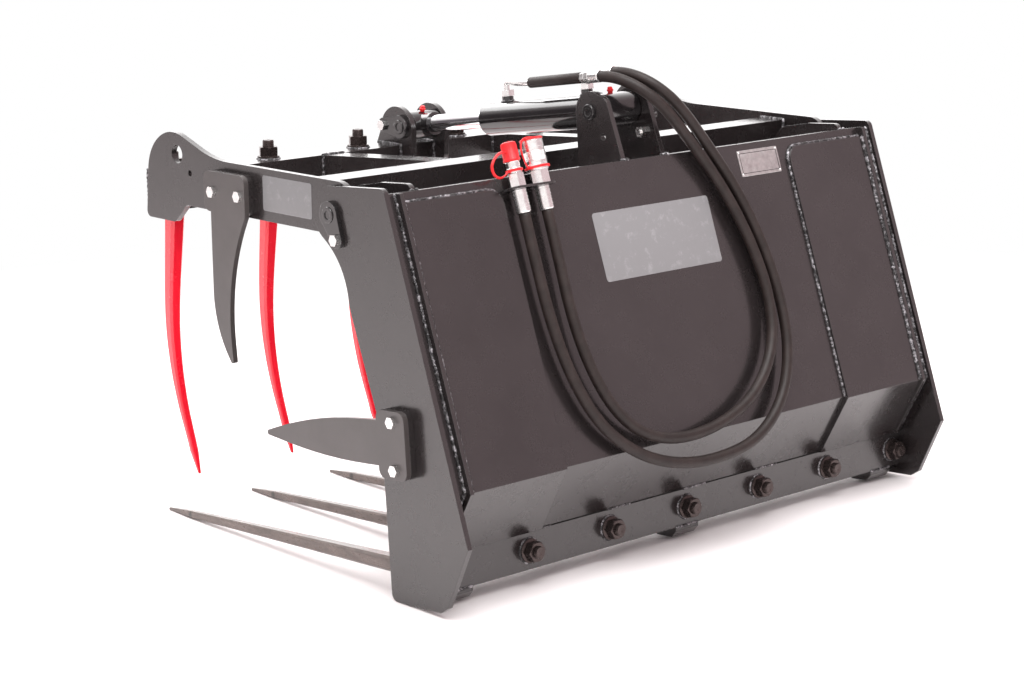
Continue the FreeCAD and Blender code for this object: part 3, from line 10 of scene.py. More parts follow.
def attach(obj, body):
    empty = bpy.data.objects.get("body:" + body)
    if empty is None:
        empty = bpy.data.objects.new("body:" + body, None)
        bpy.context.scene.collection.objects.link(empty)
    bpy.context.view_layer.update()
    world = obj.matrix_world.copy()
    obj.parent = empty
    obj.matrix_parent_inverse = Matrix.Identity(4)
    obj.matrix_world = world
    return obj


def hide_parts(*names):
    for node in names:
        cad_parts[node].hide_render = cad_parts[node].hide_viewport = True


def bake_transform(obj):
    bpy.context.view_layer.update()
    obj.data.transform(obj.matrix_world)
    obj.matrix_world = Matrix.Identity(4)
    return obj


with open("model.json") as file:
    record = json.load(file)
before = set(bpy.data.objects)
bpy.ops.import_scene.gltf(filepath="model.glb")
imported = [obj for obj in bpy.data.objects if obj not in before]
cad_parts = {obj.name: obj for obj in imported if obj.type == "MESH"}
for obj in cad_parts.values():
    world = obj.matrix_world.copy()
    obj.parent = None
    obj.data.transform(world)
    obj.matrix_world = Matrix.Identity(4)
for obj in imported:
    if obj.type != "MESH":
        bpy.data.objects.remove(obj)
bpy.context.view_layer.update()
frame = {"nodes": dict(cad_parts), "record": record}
RECORD = frame["record"]
JOINTS = {joint["name"]: joint for joint in RECORD["behaviour"]["joints"]}
HINGE = Vector(JOINTS["grab_hinge"]["pos_m"])
REAR_PIN = Vector(JOINTS["barrel_tilt"]["pos_m"])
ROD_WAY = Vector(JOINTS["rod_slide"]["axis"])

# The fork's own frame, in which its tines are level, stands tilted on the floor
HINGE_IN_FORK = Vector((0, -0.184, 0.618))
REAR_PIN_IN_FORK = Vector((0, -0.131, 0.745))
BACK_LEAN = math.radians(15.3)
FOLD_Y = 0.093
FOLD_Z = 0.155


def fork_tilt():
    """The turn about X from the fork's own frame to the row frame, from two known points."""
    own = REAR_PIN_IN_FORK - HINGE_IN_FORK
    stood = REAR_PIN - HINGE
    return math.atan2(stood.z, stood.y) - math.atan2(own.z, own.y)


TILT = fork_tilt()
TURN = Matrix.Rotation(TILT, 4, "X")
SHIFT = HINGE - TURN @ HINGE_IN_FORK


def stood(x, y, z):
    """A point of the fork's own frame, in the row frame."""
    return TURN @ Vector((x, y, z)) + SHIFT


def on_cylinder(x, y, z):
    """A point of the cylinder's frame, which runs along -Y from its rear pin, in the row frame."""
    up = Vector((0, ROD_WAY.z, -ROD_WAY.y))
    return REAR_PIN + Vector((x, 0, 0)) - ROD_WAY * y + up * z


# Node helpers for materials
def new_material(name):
    material = bpy.data.materials.new(name)
    material.use_nodes = True
    tree = material.node_tree
    return material, tree, tree.nodes["Principled BSDF"]


def link(tree, output, target):
    tree.links.new(output, target)


def noise(tree, scale, detail=4.0, rough=0.5, stretch=(1, 1, 1)):
    coords = tree.nodes.new("ShaderNodeTexCoord")
    mapping = tree.nodes.new("ShaderNodeMapping")
    mapping.inputs["Scale"].default_value = stretch
    link(tree, coords.outputs["Object"], mapping.inputs["Vector"])
    texture = tree.nodes.new("ShaderNodeTexNoise")
    texture.inputs["Scale"].default_value = scale
    texture.inputs["Detail"].default_value = detail
    texture.inputs["Roughness"].default_value = rough
    link(tree, mapping.outputs["Vector"], texture.inputs["Vector"])
    return texture.outputs["Fac"]


def spread(tree, value, low, high, to_low=0.0, to_high=1.0):
    node = tree.nodes.new("ShaderNodeMapRange")
    for socket, number in zip(("From Min", "From Max", "To Min", "To Max"), (low, high, to_low, to_high)):
        node.inputs[socket].default_value = number
    link(tree, value, node.inputs["Value"])
    return node.outputs["Result"]


def colour_socket(sockets, name):
    """The colour socket of that name. A Mix node has others that share it."""
    return [socket for socket in sockets if socket.name == name and socket.type == "RGBA"][0]


def mix_colour(tree, factor, first, second):
    node = tree.nodes.new("ShaderNodeMix")
    node.data_type = "RGBA"
    link(tree, factor, node.inputs["Factor"])
    for name, colour in (("A", first), ("B", second)):
        socket = colour_socket(node.inputs, name)
        if isinstance(colour, bpy.types.NodeSocket):
            link(tree, colour, socket)
        else:
            socket.default_value = (*colour, 1)
    return colour_socket(node.outputs, "Result")


def scaled(colour, share, lift=0.0):
    """A lighter or darker colour of the same kind."""
    return [c * share + lift for c in colour]


def bump(tree, height, distance, strength=1.0, under=None):
    node = tree.nodes.new("ShaderNodeBump")
    node.inputs["Distance"].default_value = distance
    node.inputs["Strength"].default_value = strength
    link(tree, height, node.inputs["Height"])
    if under is not None:
        link(tree, under, node.inputs["Normal"])
    return node.outputs["Normal"]


def soft_edges(tree, radius):
    """Normals that round every edge a little, as paint does on cut plate."""
    node = tree.nodes.new("ShaderNodeBevel")
    node.samples = 4
    node.inputs["Radius"].default_value = radius
    return node.outputs["Normal"]


def edge_mask(tree, radius):
    """White along edges: how far the rounded normal leans from the true one."""
    rounded = soft_edges(tree, radius)
    geometry = tree.nodes.new("ShaderNodeNewGeometry")
    dot = tree.nodes.new("ShaderNodeVectorMath")
    dot.operation = "DOT_PRODUCT"
    link(tree, rounded, dot.inputs[0])
    link(tree, geometry.outputs["Normal"], dot.inputs[1])
    return spread(tree, dot.outputs["Value"], 0.98, 0.8)


def paint(name, colour, roughness, coat=0.6, coat_roughness=0.12, peel=0.00012, edge=0.0015,
          edge_wear_and_highlight=None):
    """Sprayed paint over steel: fine orange peel, uneven gloss, softened edges, and lighter ragged edges that
    are partly paint wear and partly a painted highlight.
    """
    material, tree, shader = new_material(name)
    cloud = noise(tree, 6, 5, 0.6)
    shade = mix_colour(tree, spread(tree, cloud, 0.3, 0.7), colour, scaled(colour, 1.35, 0.002))
    # Lighter colour in ragged patches along the edges: partly paint wear, partly a painted highlight.
    if edge_wear_and_highlight:
        ragged = tree.nodes.new("ShaderNodeMath")
        ragged.operation = "MULTIPLY"
        link(tree, edge_mask(tree, edge * 1.6), ragged.inputs[0])
        link(tree, spread(tree, noise(tree, 60, 6, 0.7), 0.45, 0.62), ragged.inputs[1])
        shade = mix_colour(tree, ragged.outputs["Value"], shade, edge_wear_and_highlight)
    link(tree, shade, shader.inputs["Base Color"])
    link(tree, spread(tree, noise(tree, 22, 6, 0.65), 0.3, 0.7, roughness * 0.8, roughness * 1.25),
         shader.inputs["Roughness"])
    shader.inputs["Coat Weight"].default_value = coat
    shader.inputs["Coat Roughness"].default_value = coat_roughness
    peeled = bump(tree, noise(tree, 420, 3, 0.5), peel, 1.0, soft_edges(tree, edge))
    link(tree, peeled, shader.inputs["Normal"])
    link(tree, peeled, shader.inputs["Coat Normal"])
    return material


def steel(name, colour, roughness, grain=0.00004, metallic=1.0, stains=None, edge=0.0006):
    """Bare or plated steel with a fine grain."""
    material, tree, shader = new_material(name)
    shade = mix_colour(tree, spread(tree, noise(tree, 90, 6, 0.7), 0.35, 0.65),
                       colour, stains or scaled(colour, 0.75))
    link(tree, shade, shader.inputs["Base Color"])
    shader.inputs["Metallic"].default_value = metallic
    link(tree, spread(tree, noise(tree, 160, 4), 0.3, 0.7, roughness * 0.75, roughness * 1.3),
         shader.inputs["Roughness"])
    link(tree, bump(tree, noise(tree, 700, 2), grain, 1.0, soft_edges(tree, edge)), shader.inputs["Normal"])
    return material


def rubber(name, colour, roughness):
    """Hose cover: cloth-marked rubber, a little dusty."""
    material, tree, shader = new_material(name)
    dust = spread(tree, noise(tree, 35, 6, 0.7), 0.4, 0.7)
    shade = mix_colour(tree, dust, colour, scaled(colour, 1.8, 0.002))
    link(tree, shade, shader.inputs["Base Color"])
    shader.inputs["Roughness"].default_value = roughness
    shader.inputs["Specular IOR Level"].default_value = 0.35
    link(tree, bump(tree, noise(tree, 900, 2, 0.5), 0.00025), shader.inputs["Normal"])
    return material


TAPER_START = stood(0, -0.741, 0)
MARK_RADIUS = 0.0055


def forged(name, colour, roughness):
    """Scaly forged steel under thin lacquer, with a dark mark where each tine's point begins."""
    material, tree, shader = new_material(name)
    scale = spread(tree, noise(tree, 75, 8, 0.75, (1, 0.25, 1)), 0.42, 0.66)
    shade = mix_colour(tree, scale, colour, scaled(colour, 1.9))
    flat = tree.nodes.new("ShaderNodeVectorMath")
    flat.operation = "MULTIPLY"
    flat.inputs[1].default_value = (0, 1, 1)
    link(tree, tree.nodes.new("ShaderNodeTexCoord").outputs["Object"], flat.inputs[0])
    apart = tree.nodes.new("ShaderNodeVectorMath")
    apart.operation = "DISTANCE"
    apart.inputs[1].default_value = TAPER_START
    link(tree, flat.outputs["Vector"], apart.inputs[0])
    mark = spread(tree, apart.outputs["Value"], MARK_RADIUS * 1.5, MARK_RADIUS * 0.7)
    link(tree, mix_colour(tree, mark, shade, scaled(colour, 0.2)), shader.inputs["Base Color"])
    shader.inputs["Metallic"].default_value = 0.35
    shader.inputs["Coat Weight"].default_value = 0.4
    shader.inputs["Coat Roughness"].default_value = 0.16
    link(tree, spread(tree, scale, 0, 1, roughness, roughness * 0.6), shader.inputs["Roughness"])
    rough_skin = bump(tree, noise(tree, 240, 6, 0.7), 0.0004, 1.0, soft_edges(tree, 0.0015))
    link(tree, rough_skin, shader.inputs["Normal"])
    link(tree, rough_skin, shader.inputs["Coat Normal"])
    return material


def weld_paint(name, colour, bare):
    """Paint over a weld bead, thin enough on its ripples for patches of metal to show."""
    material, tree, shader = new_material(name)
    patches = spread(tree, noise(tree, 110, 6, 0.85), 0.5, 0.57)
    link(tree, mix_colour(tree, patches, colour, bare), shader.inputs["Base Color"])
    link(tree, spread(tree, patches, 0, 1, 0, 0.85), shader.inputs["Metallic"])
    link(tree, spread(tree, noise(tree, 260, 4), 0.3, 0.7, 0.2, 0.45), shader.inputs["Roughness"])
    link(tree, bump(tree, noise(tree, 380, 5, 0.7), 0.0011), shader.inputs["Normal"])
    return material


def film(name, colour, roughness):
    """A blank adhesive film, lightly scuffed."""
    material, tree, shader = new_material(name)
    scuffs = spread(tree, noise(tree, 45, 8, 0.75), 0.55, 0.66)
    link(tree, mix_colour(tree, scuffs, colour, scaled(colour, 1.3)), shader.inputs["Base Color"])
    link(tree, spread(tree, noise(tree, 80, 4), 0.3, 0.7, roughness * 0.7, roughness * 1.3),
         shader.inputs["Roughness"])
    link(tree, bump(tree, noise(tree, 300, 2), 0.00005), shader.inputs["Normal"])
    return material


BLACK = (0.0135, 0.0108, 0.011)
MATERIALS = {
    # The satin black's lighter edges are partly paint wear and partly a painted highlight.
    "frame_paint": paint("satin_black_paint", BLACK, 0.25, 0.6, 0.12, edge_wear_and_highlight=(0.05, 0.047, 0.045)),
    "cylinder_paint": paint("gloss_black_paint", (0.007, 0.006, 0.0065), 0.16, 0.8, 0.05, peel=0.00006),
    "blade_paint": paint("blade_black_paint", (0.045, 0.039, 0.038), 0.36, 0.35, 0.2),
    "tine_steel": forged("forged_tine_steel", (0.085, 0.066, 0.058), 0.36),
    "red_paint": paint("gloss_red_paint", (0.68, 0.005, 0.02), 0.24, 0.7, 0.1, peel=0.00008),
    "zinc": steel("bright_zinc", (0.9, 0.9, 0.89), 0.24, stains=(0.76, 0.76, 0.75)),
    "nut_steel": steel("black_oiled_steel", (0.075, 0.058, 0.055), 0.24, metallic=0.75),
    "chromed_rod": steel("hard_chrome", (0.86, 0.87, 0.89), 0.05, grain=0.00001, stains=(0.8, 0.81, 0.83)),
    "hose_rubber": rubber("hose_rubber", (0.0135, 0.0085, 0.0075), 0.5),
    "cap_red": rubber("red_plastic", (0.6, 0.012, 0.016), 0.35),
    # Near-black for painted shadow in the slits between the stitch welds along the tine bar.
    "slit_shadow": rubber("painted_slit_shadow", (0.0015, 0.0012, 0.0012), 0.9),
    "weld": weld_paint("painted_weld", (0.006, 0.0055, 0.006), (0.4, 0.39, 0.41)),
    "plate_silver": steel("anodised_plate", (0.62, 0.62, 0.61), 0.38, grain=0.00001),
    "film_grey": film("plain_grey_film", (0.2, 0.2, 0.205), 0.4),
}
for entry in RECORD["subparts"]:
    piece = frame["nodes"][entry["node"]]
    for slot in piece.material_slots:
        slot.material = MATERIALS[entry["material_slot"]]

# Hoses: the routes repeat the model's, in the fork's own frame
HOSE_DIAMETER = 0.021
HOSE_GAP = 0.0003
HOSE_LEAD = 0.038
COUPLER_X = {"male": 0.348, "female": 0.293}
COUPLER_FOOT = 0.598
COUPLER_STAND = 0.022
COUPLER_FOOT_Y = FOLD_Y + COUPLER_STAND / math.cos(BACK_LEAN) - (COUPLER_FOOT - FOLD_Z) * math.tan(BACK_LEAN)
HOSE_EXITS = {"male": (-0.012, -0.022, 0.069), "female": (0.019, -0.028, 0.064)}
ROUTES = {
    "male": [
        (-0.023, -0.078, 0.805),
        (-0.043, -0.046, 0.783),
        (-0.074, -0.025, 0.747),
        (-0.150, -0.022, 0.656),
        (-0.199, 0.002, 0.566),
        (-0.231, 0.032, 0.458),
        (-0.239, 0.060, 0.362),
        (-0.227, 0.086, 0.269),
        (-0.179, 0.109, 0.183),
        (-0.092, 0.124, 0.126),
        (0.012, 0.128, 0.110),
        (0.118, 0.125, 0.116),
        (0.212, 0.116, 0.149),
        (0.288, 0.100, 0.212),
        (0.330, 0.075, 0.305),
        (0.346, 0.045, 0.409),
        (0.348, 0.018, 0.512),
    ],
    "female": [
        (0.008, -0.084, 0.800),
        (-0.012, -0.051, 0.778),
        (-0.042, -0.029, 0.743),
        (-0.118, -0.022, 0.652),
        (-0.170, 0.002, 0.562),
        (-0.203, 0.031, 0.458),
        (-0.212, 0.057, 0.366),
        (-0.186, 0.083, 0.278),
        (-0.108, 0.106, 0.206),
        (0.000, 0.117, 0.168),
        (0.112, 0.118, 0.160),
        (0.198, 0.111, 0.184),
        (0.254, 0.096, 0.240),
        (0.286, 0.074, 0.322),
        (0.296, 0.046, 0.412),
        (0.293, 0.018, 0.512),
    ],
}


def spline_points(route):
    """The smooth line that a NURBS spline makes of the route's points."""
    curve = bpy.data.curves.new("route", "CURVE")
    curve.dimensions = "3D"
    curve.resolution_u = 16
    spline = curve.splines.new("NURBS")
    spline.points.add(len(route) - 1)
    for point, place in zip(spline.points, route):
        point.co = (*place, 1)
    spline.order_u = 3
    spline.use_endpoint_u = True
    carrier = bpy.data.objects.new("route", curve)
    bpy.context.scene.collection.objects.link(carrier)
    mesh = bpy.data.meshes.new_from_object(carrier)
    points = [vertex.co.copy() for vertex in mesh.vertices]
    bpy.data.objects.remove(carrier)
    bpy.data.meshes.remove(mesh)
    return points


def new_object(name, mesh, material):
    piece = bpy.data.objects.new(name, mesh)
    bpy.context.scene.collection.objects.link(piece)
    piece.data.materials.append(material)
    for polygon in piece.data.polygons:
        polygon.use_smooth = True
    return piece


def tube_shape(points, radii, sides=16, squeeze=1.0, closed=False):
    """Corners and faces of a tube along points, with a radius at each."""
    verts = []
    faces = []
    side = None
    count = len(points)
    for i, point in enumerate(points):
        if closed:
            way = (points[(i + 1) % count] - points[i - 1]).normalized()
        else:
            way = (points[min(i + 1, count - 1)] - points[max(i - 1, 0)]).normalized()
        if side is None:
            side = way.orthogonal().normalized()
        side = (side - way * side.dot(way)).normalized()
        other = way.cross(side)
        for k in range(sides):
            angle = 2 * math.pi * k / sides
            verts.append(point + (side * math.cos(angle) + other * math.sin(angle) * squeeze) * radii[i])
    for i in range(count if closed else count - 1):
        for k in range(sides):
            a, b = i * sides + k, i * sides + (k + 1) % sides
            onward = sides if i < count - 1 else -i * sides
            faces.append((a, b, b + onward, a + onward))
    if not closed:
        faces.append(tuple(range(sides))[::-1])
        faces.append(tuple(range(len(verts) - sides, len(verts))))
    return verts, faces


def mesh_of(name, shapes):
    """One mesh of several sets of corners and faces."""
    verts = []
    faces = []
    for more_verts, more_faces in shapes:
        start = len(verts)
        verts += more_verts
        faces += [tuple(start + i for i in face) for face in more_faces]
    mesh = bpy.data.meshes.new(name)
    mesh.from_pydata(verts, [], faces)
    mesh.update()
    return mesh


for name, route in ROUTES.items():
    out_x, out_y, out_z = HOSE_EXITS[name]
    whole = [on_cylinder(out_x, out_y + HOSE_GAP, out_z), on_cylinder(out_x, out_y + HOSE_LEAD, out_z)]
    whole += [stood(*point) for point in route]
    whole.append(stood(COUPLER_X[name], COUPLER_FOOT_Y, COUPLER_FOOT - HOSE_GAP))
    line = spline_points(whole)
    cover = tube_shape(line, [HOSE_DIAMETER / 2] * len(line), 24)
    hose = new_object(name + "_hose_cover", mesh_of(name + "_hose_cover", [cover]), MATERIALS["hose_rubber"])
    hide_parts(name + "_hose")
    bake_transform(hose)


# Turned and hexagonal pieces
def dressed(name, shapes, look, body, sharp=35):
    """A new piece of several shapes, that rides on a body. Its slot holds its look's material."""
    piece = new_object(name, mesh_of(name, shapes), MATERIALS[look])
    piece.data.set_sharp_from_angle(angle=math.radians(sharp))
    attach(piece, body)
    return piece


def lathe(foot, way, profile, sides=36, flats=(), ribs=(0, 0.0)):
    """A closed shape turned round an axis; profile gives (radius, height) up that axis.

    Rings whose index is in flats are hexagons, and ribs are (count, depth) of grip ribs.
    """
    way = Vector(way).normalized()
    side = way.orthogonal().normalized()
    other = way.cross(side)
    verts = []
    for index, (radius, height) in enumerate(profile):
        for k in range(sides):
            angle = 2 * math.pi * k / sides
            reach = radius
            if index in flats:
                turn = angle % (math.pi / 3) - math.pi / 6
                reach = radius / math.cos(turn)
            elif ribs[0]:
                reach = radius * (1 - ribs[1] * (0.5 + 0.5 * math.cos(ribs[0] * angle)))
            verts.append(foot + way * height + (side * math.cos(angle) + other * math.sin(angle)) * reach)
    faces = []
    for i in range(len(profile) - 1):
        for k in range(sides):
            a, b = i * sides + k, i * sides + (k + 1) % sides
            faces.append((a, b, b + sides, a + sides))
    faces.append(tuple(range(sides))[::-1])
    faces.append(tuple(range(len(verts) - sides, len(verts))))
    return verts, faces


def hexagon(foot, way, across_flats, length, chamfer=0.0008):
    """A hexagon bar with its corners eased at both ends."""
    half = across_flats / 2
    eased = half - chamfer
    return lathe(foot, way, [(eased, 0), (half, chamfer), (half, length - chamfer), (eased, length)],
                 36, flats=(0, 1, 2, 3))


def ridges(radius, depth, start, length, pitch):
    """Profile points of a row of ridges."""
    points = []
    for k in range(int(length / pitch)):
        points.append((radius - depth, start + k * pitch))
        points.append((radius, start + (k + 0.5) * pitch))
    points.append((radius - depth, start + int(length / pitch) * pitch))
    return points


def socket_end(foot, way, radius=0.0145, across_flats=0.014, proud=0.0022):
    """A pin's end face with a hexagon socket in it."""
    inner = across_flats / 2
    return lathe(foot, way, [(radius, -0.0002), (radius, proud * 0.6), (radius - 0.0008, proud),
                             (inner + 0.001, proud), (inner, proud * 0.6), (inner, 0.00025)],
                 48, flats=(4, 5))


def ring_points(centre, way, radius, count=48):
    way = Vector(way).normalized()
    side = way.orthogonal().normalized()
    other = way.cross(side)
    return [centre + (side * math.cos(2 * math.pi * k / count) + other * math.sin(2 * math.pi * k / count))
            * radius for k in range(count)]


def on_grab(x, ahead, above):
    """A point of the grab at rest, from its hinge, in the row frame."""
    return HINGE + Vector((x, -ahead, above))


def on_coupler(name, along, across=0.0, out=0.0):
    """A point of a coupler's own frame, which stands along the back sheet."""
    y = COUPLER_FOOT_Y + out * math.cos(BACK_LEAN) - along * math.sin(BACK_LEAN)
    z = COUPLER_FOOT + out * math.sin(BACK_LEAN) + along * math.cos(BACK_LEAN)
    return stood(COUPLER_X[name] + across, y, z)


COUPLER_WAY = on_coupler("male", 1) - on_coupler("male", 0)
OUT_X = Vector((1, 0, 0))
CYLINDER_UP = on_cylinder(0, 0, 1) - on_cylinder(0, 0, 0)

# Couplers: crimped ferrules, collars, cap and lid, as (radius, height) up each coupler
COUPLER_TOP = 0.123
CAP_LOW = 0.091
CAP_SIDES = 72
CAP_RIBS = (24, 0.035)
STRAP_RING_RADII = {"male": 0.0138, "female": 0.0208}


def round_coupler(name, profile, sides=36, **more):
    """A shape turned round a coupler's axis."""
    return lathe(on_coupler(name, 0), COUPLER_WAY, profile, sides, **more)


crimp = [(0.0118, -0.003), (0.0134, -0.001)]
crimp += ridges(0.0136, 0.0009, 0.004, 0.03, 0.006)
crimp += [(0.0136, 0.0385), (0.0124, 0.0398)]
for name in COUPLER_X:
    dressed(name + "_ferrule", [round_coupler(name, crimp)], "zinc", "fork")
female_collar = [(0.0195, 0.0682), (0.0205, 0.0692), (0.0205, 0.079), (0.0192, 0.0805), (0.0192, 0.084)]
female_collar += ridges(0.0207, 0.0005, 0.085, 0.018, 0.0015)
female_collar += [(0.0192, 0.1045), (0.0192, 0.108), (0.0206, 0.109), (0.0206, 0.1215), (0.0196, 0.1228)]
dressed("female_collar", [round_coupler("female", female_collar, 48)], "zinc", "fork")
male_collar = [(0.0118, 0.0682), (0.0136, 0.069), (0.0136, 0.0775), (0.0124, 0.0785)]
male_collar += [(0.0124, 0.0885), (0.0132, 0.0895), (0.0118, 0.0908)]
dressed("male_collar", [round_coupler("male", male_collar)], "zinc", "fork")
cap_profile = [
    (0.0128, CAP_LOW - 0.0006),
    (0.0158, CAP_LOW),
    (0.0158, CAP_LOW + 0.0035),
    (0.0148, CAP_LOW + 0.0045),
    (0.0145, CAP_LOW + 0.028),
    (0.0135, CAP_LOW + 0.0325),
    (0.0095, CAP_LOW + 0.0345),
    (0.009, CAP_LOW + 0.0343),
    (0.002, CAP_LOW + 0.0343),
]
cap_shape = round_coupler("male", cap_profile, CAP_SIDES, ribs=CAP_RIBS)
male_cap = dressed("male_cap", [cap_shape], "cap_red", "fork", sharp=50)
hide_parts("dust_caps")
lid_profile = [
    (0.0198, COUPLER_TOP),
    (0.0212, COUPLER_TOP + 0.0006),
    (0.0212, COUPLER_TOP + 0.0026),
    (0.0202, COUPLER_TOP + 0.0036),
    (0.011, COUPLER_TOP + 0.004),
    (0.0105, COUPLER_TOP + 0.0032),
    (0.002, COUPLER_TOP + 0.0032),
]
dressed("female_lid", [round_coupler("female", lid_profile, 48)], "cap_red", "fork")
for name, radius in STRAP_RING_RADII.items():
    inner = radius - 0.0006
    outer = radius + 0.0022
    band = [(inner, 0.0715), (outer, 0.072), (outer, 0.0758), (inner, 0.0763)]
    dressed(name + "_strap_ring", [round_coupler(name, band)], "cap_red", "fork")

# Moulded straps, each from points along, across and out from its coupler
STRAP_RADIUS = 0.0026
STRAP_SQUEEZE = 0.6
STRAPS = {
    "male_cap_strap": ("male", [
        (0.0738, 0.014, 0),
        (0.062, 0.032, 0.004),
        (0.066, 0.052, 0.006),
        (0.084, 0.058, 0.008),
        (0.100, 0.046, 0.010),
        (0.109, 0.028, 0.010),
        (0.108, 0.0145, 0.004),
    ]),
    "female_lid_strap": ("female", [
        (0.0738, 0.0215, 0),
        (0.086, 0.030, 0.004),
        (0.108, 0.036, 0.008),
        (0.124, 0.030, 0.008),
        (0.1285, 0.012, 0.004),
        (0.1275, -0.004, 0),
    ]),
}
for name, (coupler, places) in STRAPS.items():
    line = spline_points([on_coupler(coupler, *place) for place in places])
    strap = tube_shape(line, [STRAP_RADIUS] * len(line), 12, STRAP_SQUEEZE)
    dressed(name, [strap], "cap_red", "fork")

# Cylinder: unions, the rubber sleeve on the transfer pipe, port bosses and grease nipple caps
BARREL_RADIUS = 0.033
PORTS = {"front": -0.290, "rear": -0.063}
PIPE_X = 0.019
PIPE_Z = 0.064
SLEEVE_FRONT = -0.198
SLEEVE_LENGTH = 0.144
BACKWARD = -ROD_WAY
boss_profile = [
    (0.0116, BARREL_RADIUS - 0.005),
    (0.0116, BARREL_RADIUS + 0.0078),
    (0.0108, BARREL_RADIUS + 0.0088),
]
for name, place in PORTS.items():
    boss = lathe(on_cylinder(0, place, 0), CYLINDER_UP, boss_profile)
    dressed(name + "_port_boss", [boss], "cylinder_paint", "barrel")
sleeve_profile = [
    (0.0062, -0.0008),
    (0.0098, -0.0004),
    (0.0105, 0.001),
    (0.0105, SLEEVE_LENGTH - 0.001),
    (0.0098, SLEEVE_LENGTH + 0.0004),
    (0.0062, SLEEVE_LENGTH + 0.0008),
]
sleeve = lathe(on_cylinder(PIPE_X, SLEEVE_FRONT, PIPE_Z), BACKWARD, sleeve_profile)
dressed("pipe_sleeve", [sleeve], "hose_rubber", "barrel")
pipe_crimp = [(0.0095, -0.001), (0.0116, 0)]
pipe_crimp += ridges(0.0119, 0.0007, 0.002, 0.02, 0.005)
pipe_crimp += [(0.0119, 0.0245), (0.0108, 0.0258)]
dressed("pipe_unions", [
    hexagon(on_cylinder(PIPE_X, -0.052, PIPE_Z), BACKWARD, 0.019, 0.011),
    hexagon(on_cylinder(PIPE_X, -0.040, PIPE_Z), BACKWARD, 0.022, 0.0118),
    lathe(on_cylinder(PIPE_X, -0.0275, PIPE_Z), BACKWARD, pipe_crimp),
], "zinc", "barrel")
elbow_crimp = [(0.0078, 0), (0.0098, 0.0008), (0.0098, 0.0055), (0.0116, 0.0062)]
elbow_crimp += ridges(0.0119, 0.0007, 0.008, 0.02, 0.005)
elbow_crimp += [(0.0119, 0.031), (0.0108, 0.0322)]
dressed("elbow_ferrule", [lathe(on_cylinder(-0.012, -0.029, 0.069), BACKWARD, elbow_crimp)], "zinc", "barrel")

GREASE_CAP = [
    (0.0042, -0.002),
    (0.0048, 0.0),
    (0.0048, 0.003),
    (0.0062, 0.0034),
    (0.0062, 0.0062),
    (0.005, 0.0072),
    (0.0046, 0.0102),
    (0.003, 0.0116),
]


def grease_cap(name, foot, way, body):
    """A red cap over a grease nipple."""
    dressed(name, [lathe(foot, way, GREASE_CAP, 24)], "cap_red", body)


ROD_EYE_RADIUS = 0.029
REAR_EYE_RADIUS = 0.031
ROD_PIN = HINGE + Vector((0, -0.519, 0.051))
cap_way = (CYLINDER_UP * 0.9 + BACKWARD * 0.35).normalized()
grease_cap("rod_grease_cap", ROD_PIN + cap_way * ROD_EYE_RADIUS, cap_way, "rod")
grease_cap("rear_grease_cap", REAR_PIN + CYLINDER_UP * REAR_EYE_RADIUS, CYLINDER_UP, "barrel")

# Pin ends, each with a hexagon socket
HINGE_PIN_REACH = 0.643


def pin_ends(name, centre, body, right, left):
    """Both end faces of a pin across the machine, each at its distance from the middle."""
    ends = [socket_end(centre + OUT_X * right, OUT_X), socket_end(centre - OUT_X * left, -OUT_X)]
    dressed(name, ends, "cylinder_paint", body)


pin_ends("hinge_pin_ends", HINGE, "fork", HINGE_PIN_REACH, HINGE_PIN_REACH)
pin_ends("rear_pin_ends", REAR_PIN, "fork", 0.062, 0.065)
pin_ends("rod_pin_ends", ROD_PIN, "grab", 0.058, 0.055)

# Threads past the tine nuts
LOWER_TINES = [(k - 3) * 0.2 for k in range(7)]
UPPER_TINES = [side * x for side in (1, -1) for x in (0.130, 0.355, 0.580)]
THREAD_RADIUS = 0.0114
THREAD_DEPTH = 0.0003
THREAD_PITCH = 0.0015
LOWER_NUT_BACK = 0.0401
UPPER_NUT_TOP = 0.0371
UPPER_TINES_AHEAD = 0.562
UPRIGHT = Vector((0, 0, 1))
BACK_WAY = stood(0, 1, 0) - stood(0, 0, 0)


def thread(foot, way, length):
    """A thread's end past its nut, with a chamfer and a centre mark."""
    profile = [(THREAD_RADIUS - THREAD_DEPTH, -0.001)]
    profile += ridges(THREAD_RADIUS, THREAD_DEPTH, 0, length - 0.002, THREAD_PITCH)
    profile += [(THREAD_RADIUS - 0.0014, length), (0.0036, length), (0.001, length - 0.0007)]
    return lathe(foot, way, profile)


lower_threads = [thread(stood(x, LOWER_NUT_BACK, 0), BACK_WAY, 0.007) for x in LOWER_TINES]
upper_threads = [thread(on_grab(x, UPPER_TINES_AHEAD, UPPER_NUT_TOP), UPRIGHT, 0.013) for x in UPPER_TINES]
dressed("lower_tine_threads", lower_threads, "nut_steel", "fork")
dressed("upper_tine_threads", upper_threads, "nut_steel", "grab")

# Weld beads, in the corners of the frame
WELD_STEP = 0.0028
RIPPLE = 0.0042
dice = random.Random(7)


def bead(points, size=0.004, closed=False):
    """A bead of overlapping ripples, half sunk in the corner that it fills."""
    whole = points + [points[0]] if closed else points
    line = []
    for a, b in zip(whole, whole[1:]):
        steps = max(1, round((b - a).length / WELD_STEP))
        line += [a.lerp(b, k / steps) for k in range(steps)]
    if not closed:
        line.append(whole[-1])
    radii = []
    travelled = 0.0
    for i, point in enumerate(line):
        travelled += (point - line[i - 1]).length if i else 0
        ripple = abs(math.sin(math.pi * travelled / RIPPLE))
        radii.append(size * (0.76 + 0.22 * ripple + dice.uniform(-0.08, 0.12)))
    if not closed:
        radii[0] = radii[-1] = size * 0.35
    return tube_shape(line, radii, 8, closed=closed)


def welds(name, body, runs):
    """A piece of several beads, in the slot of the paint that covers them."""
    dressed(name, runs, "weld", body, 60)


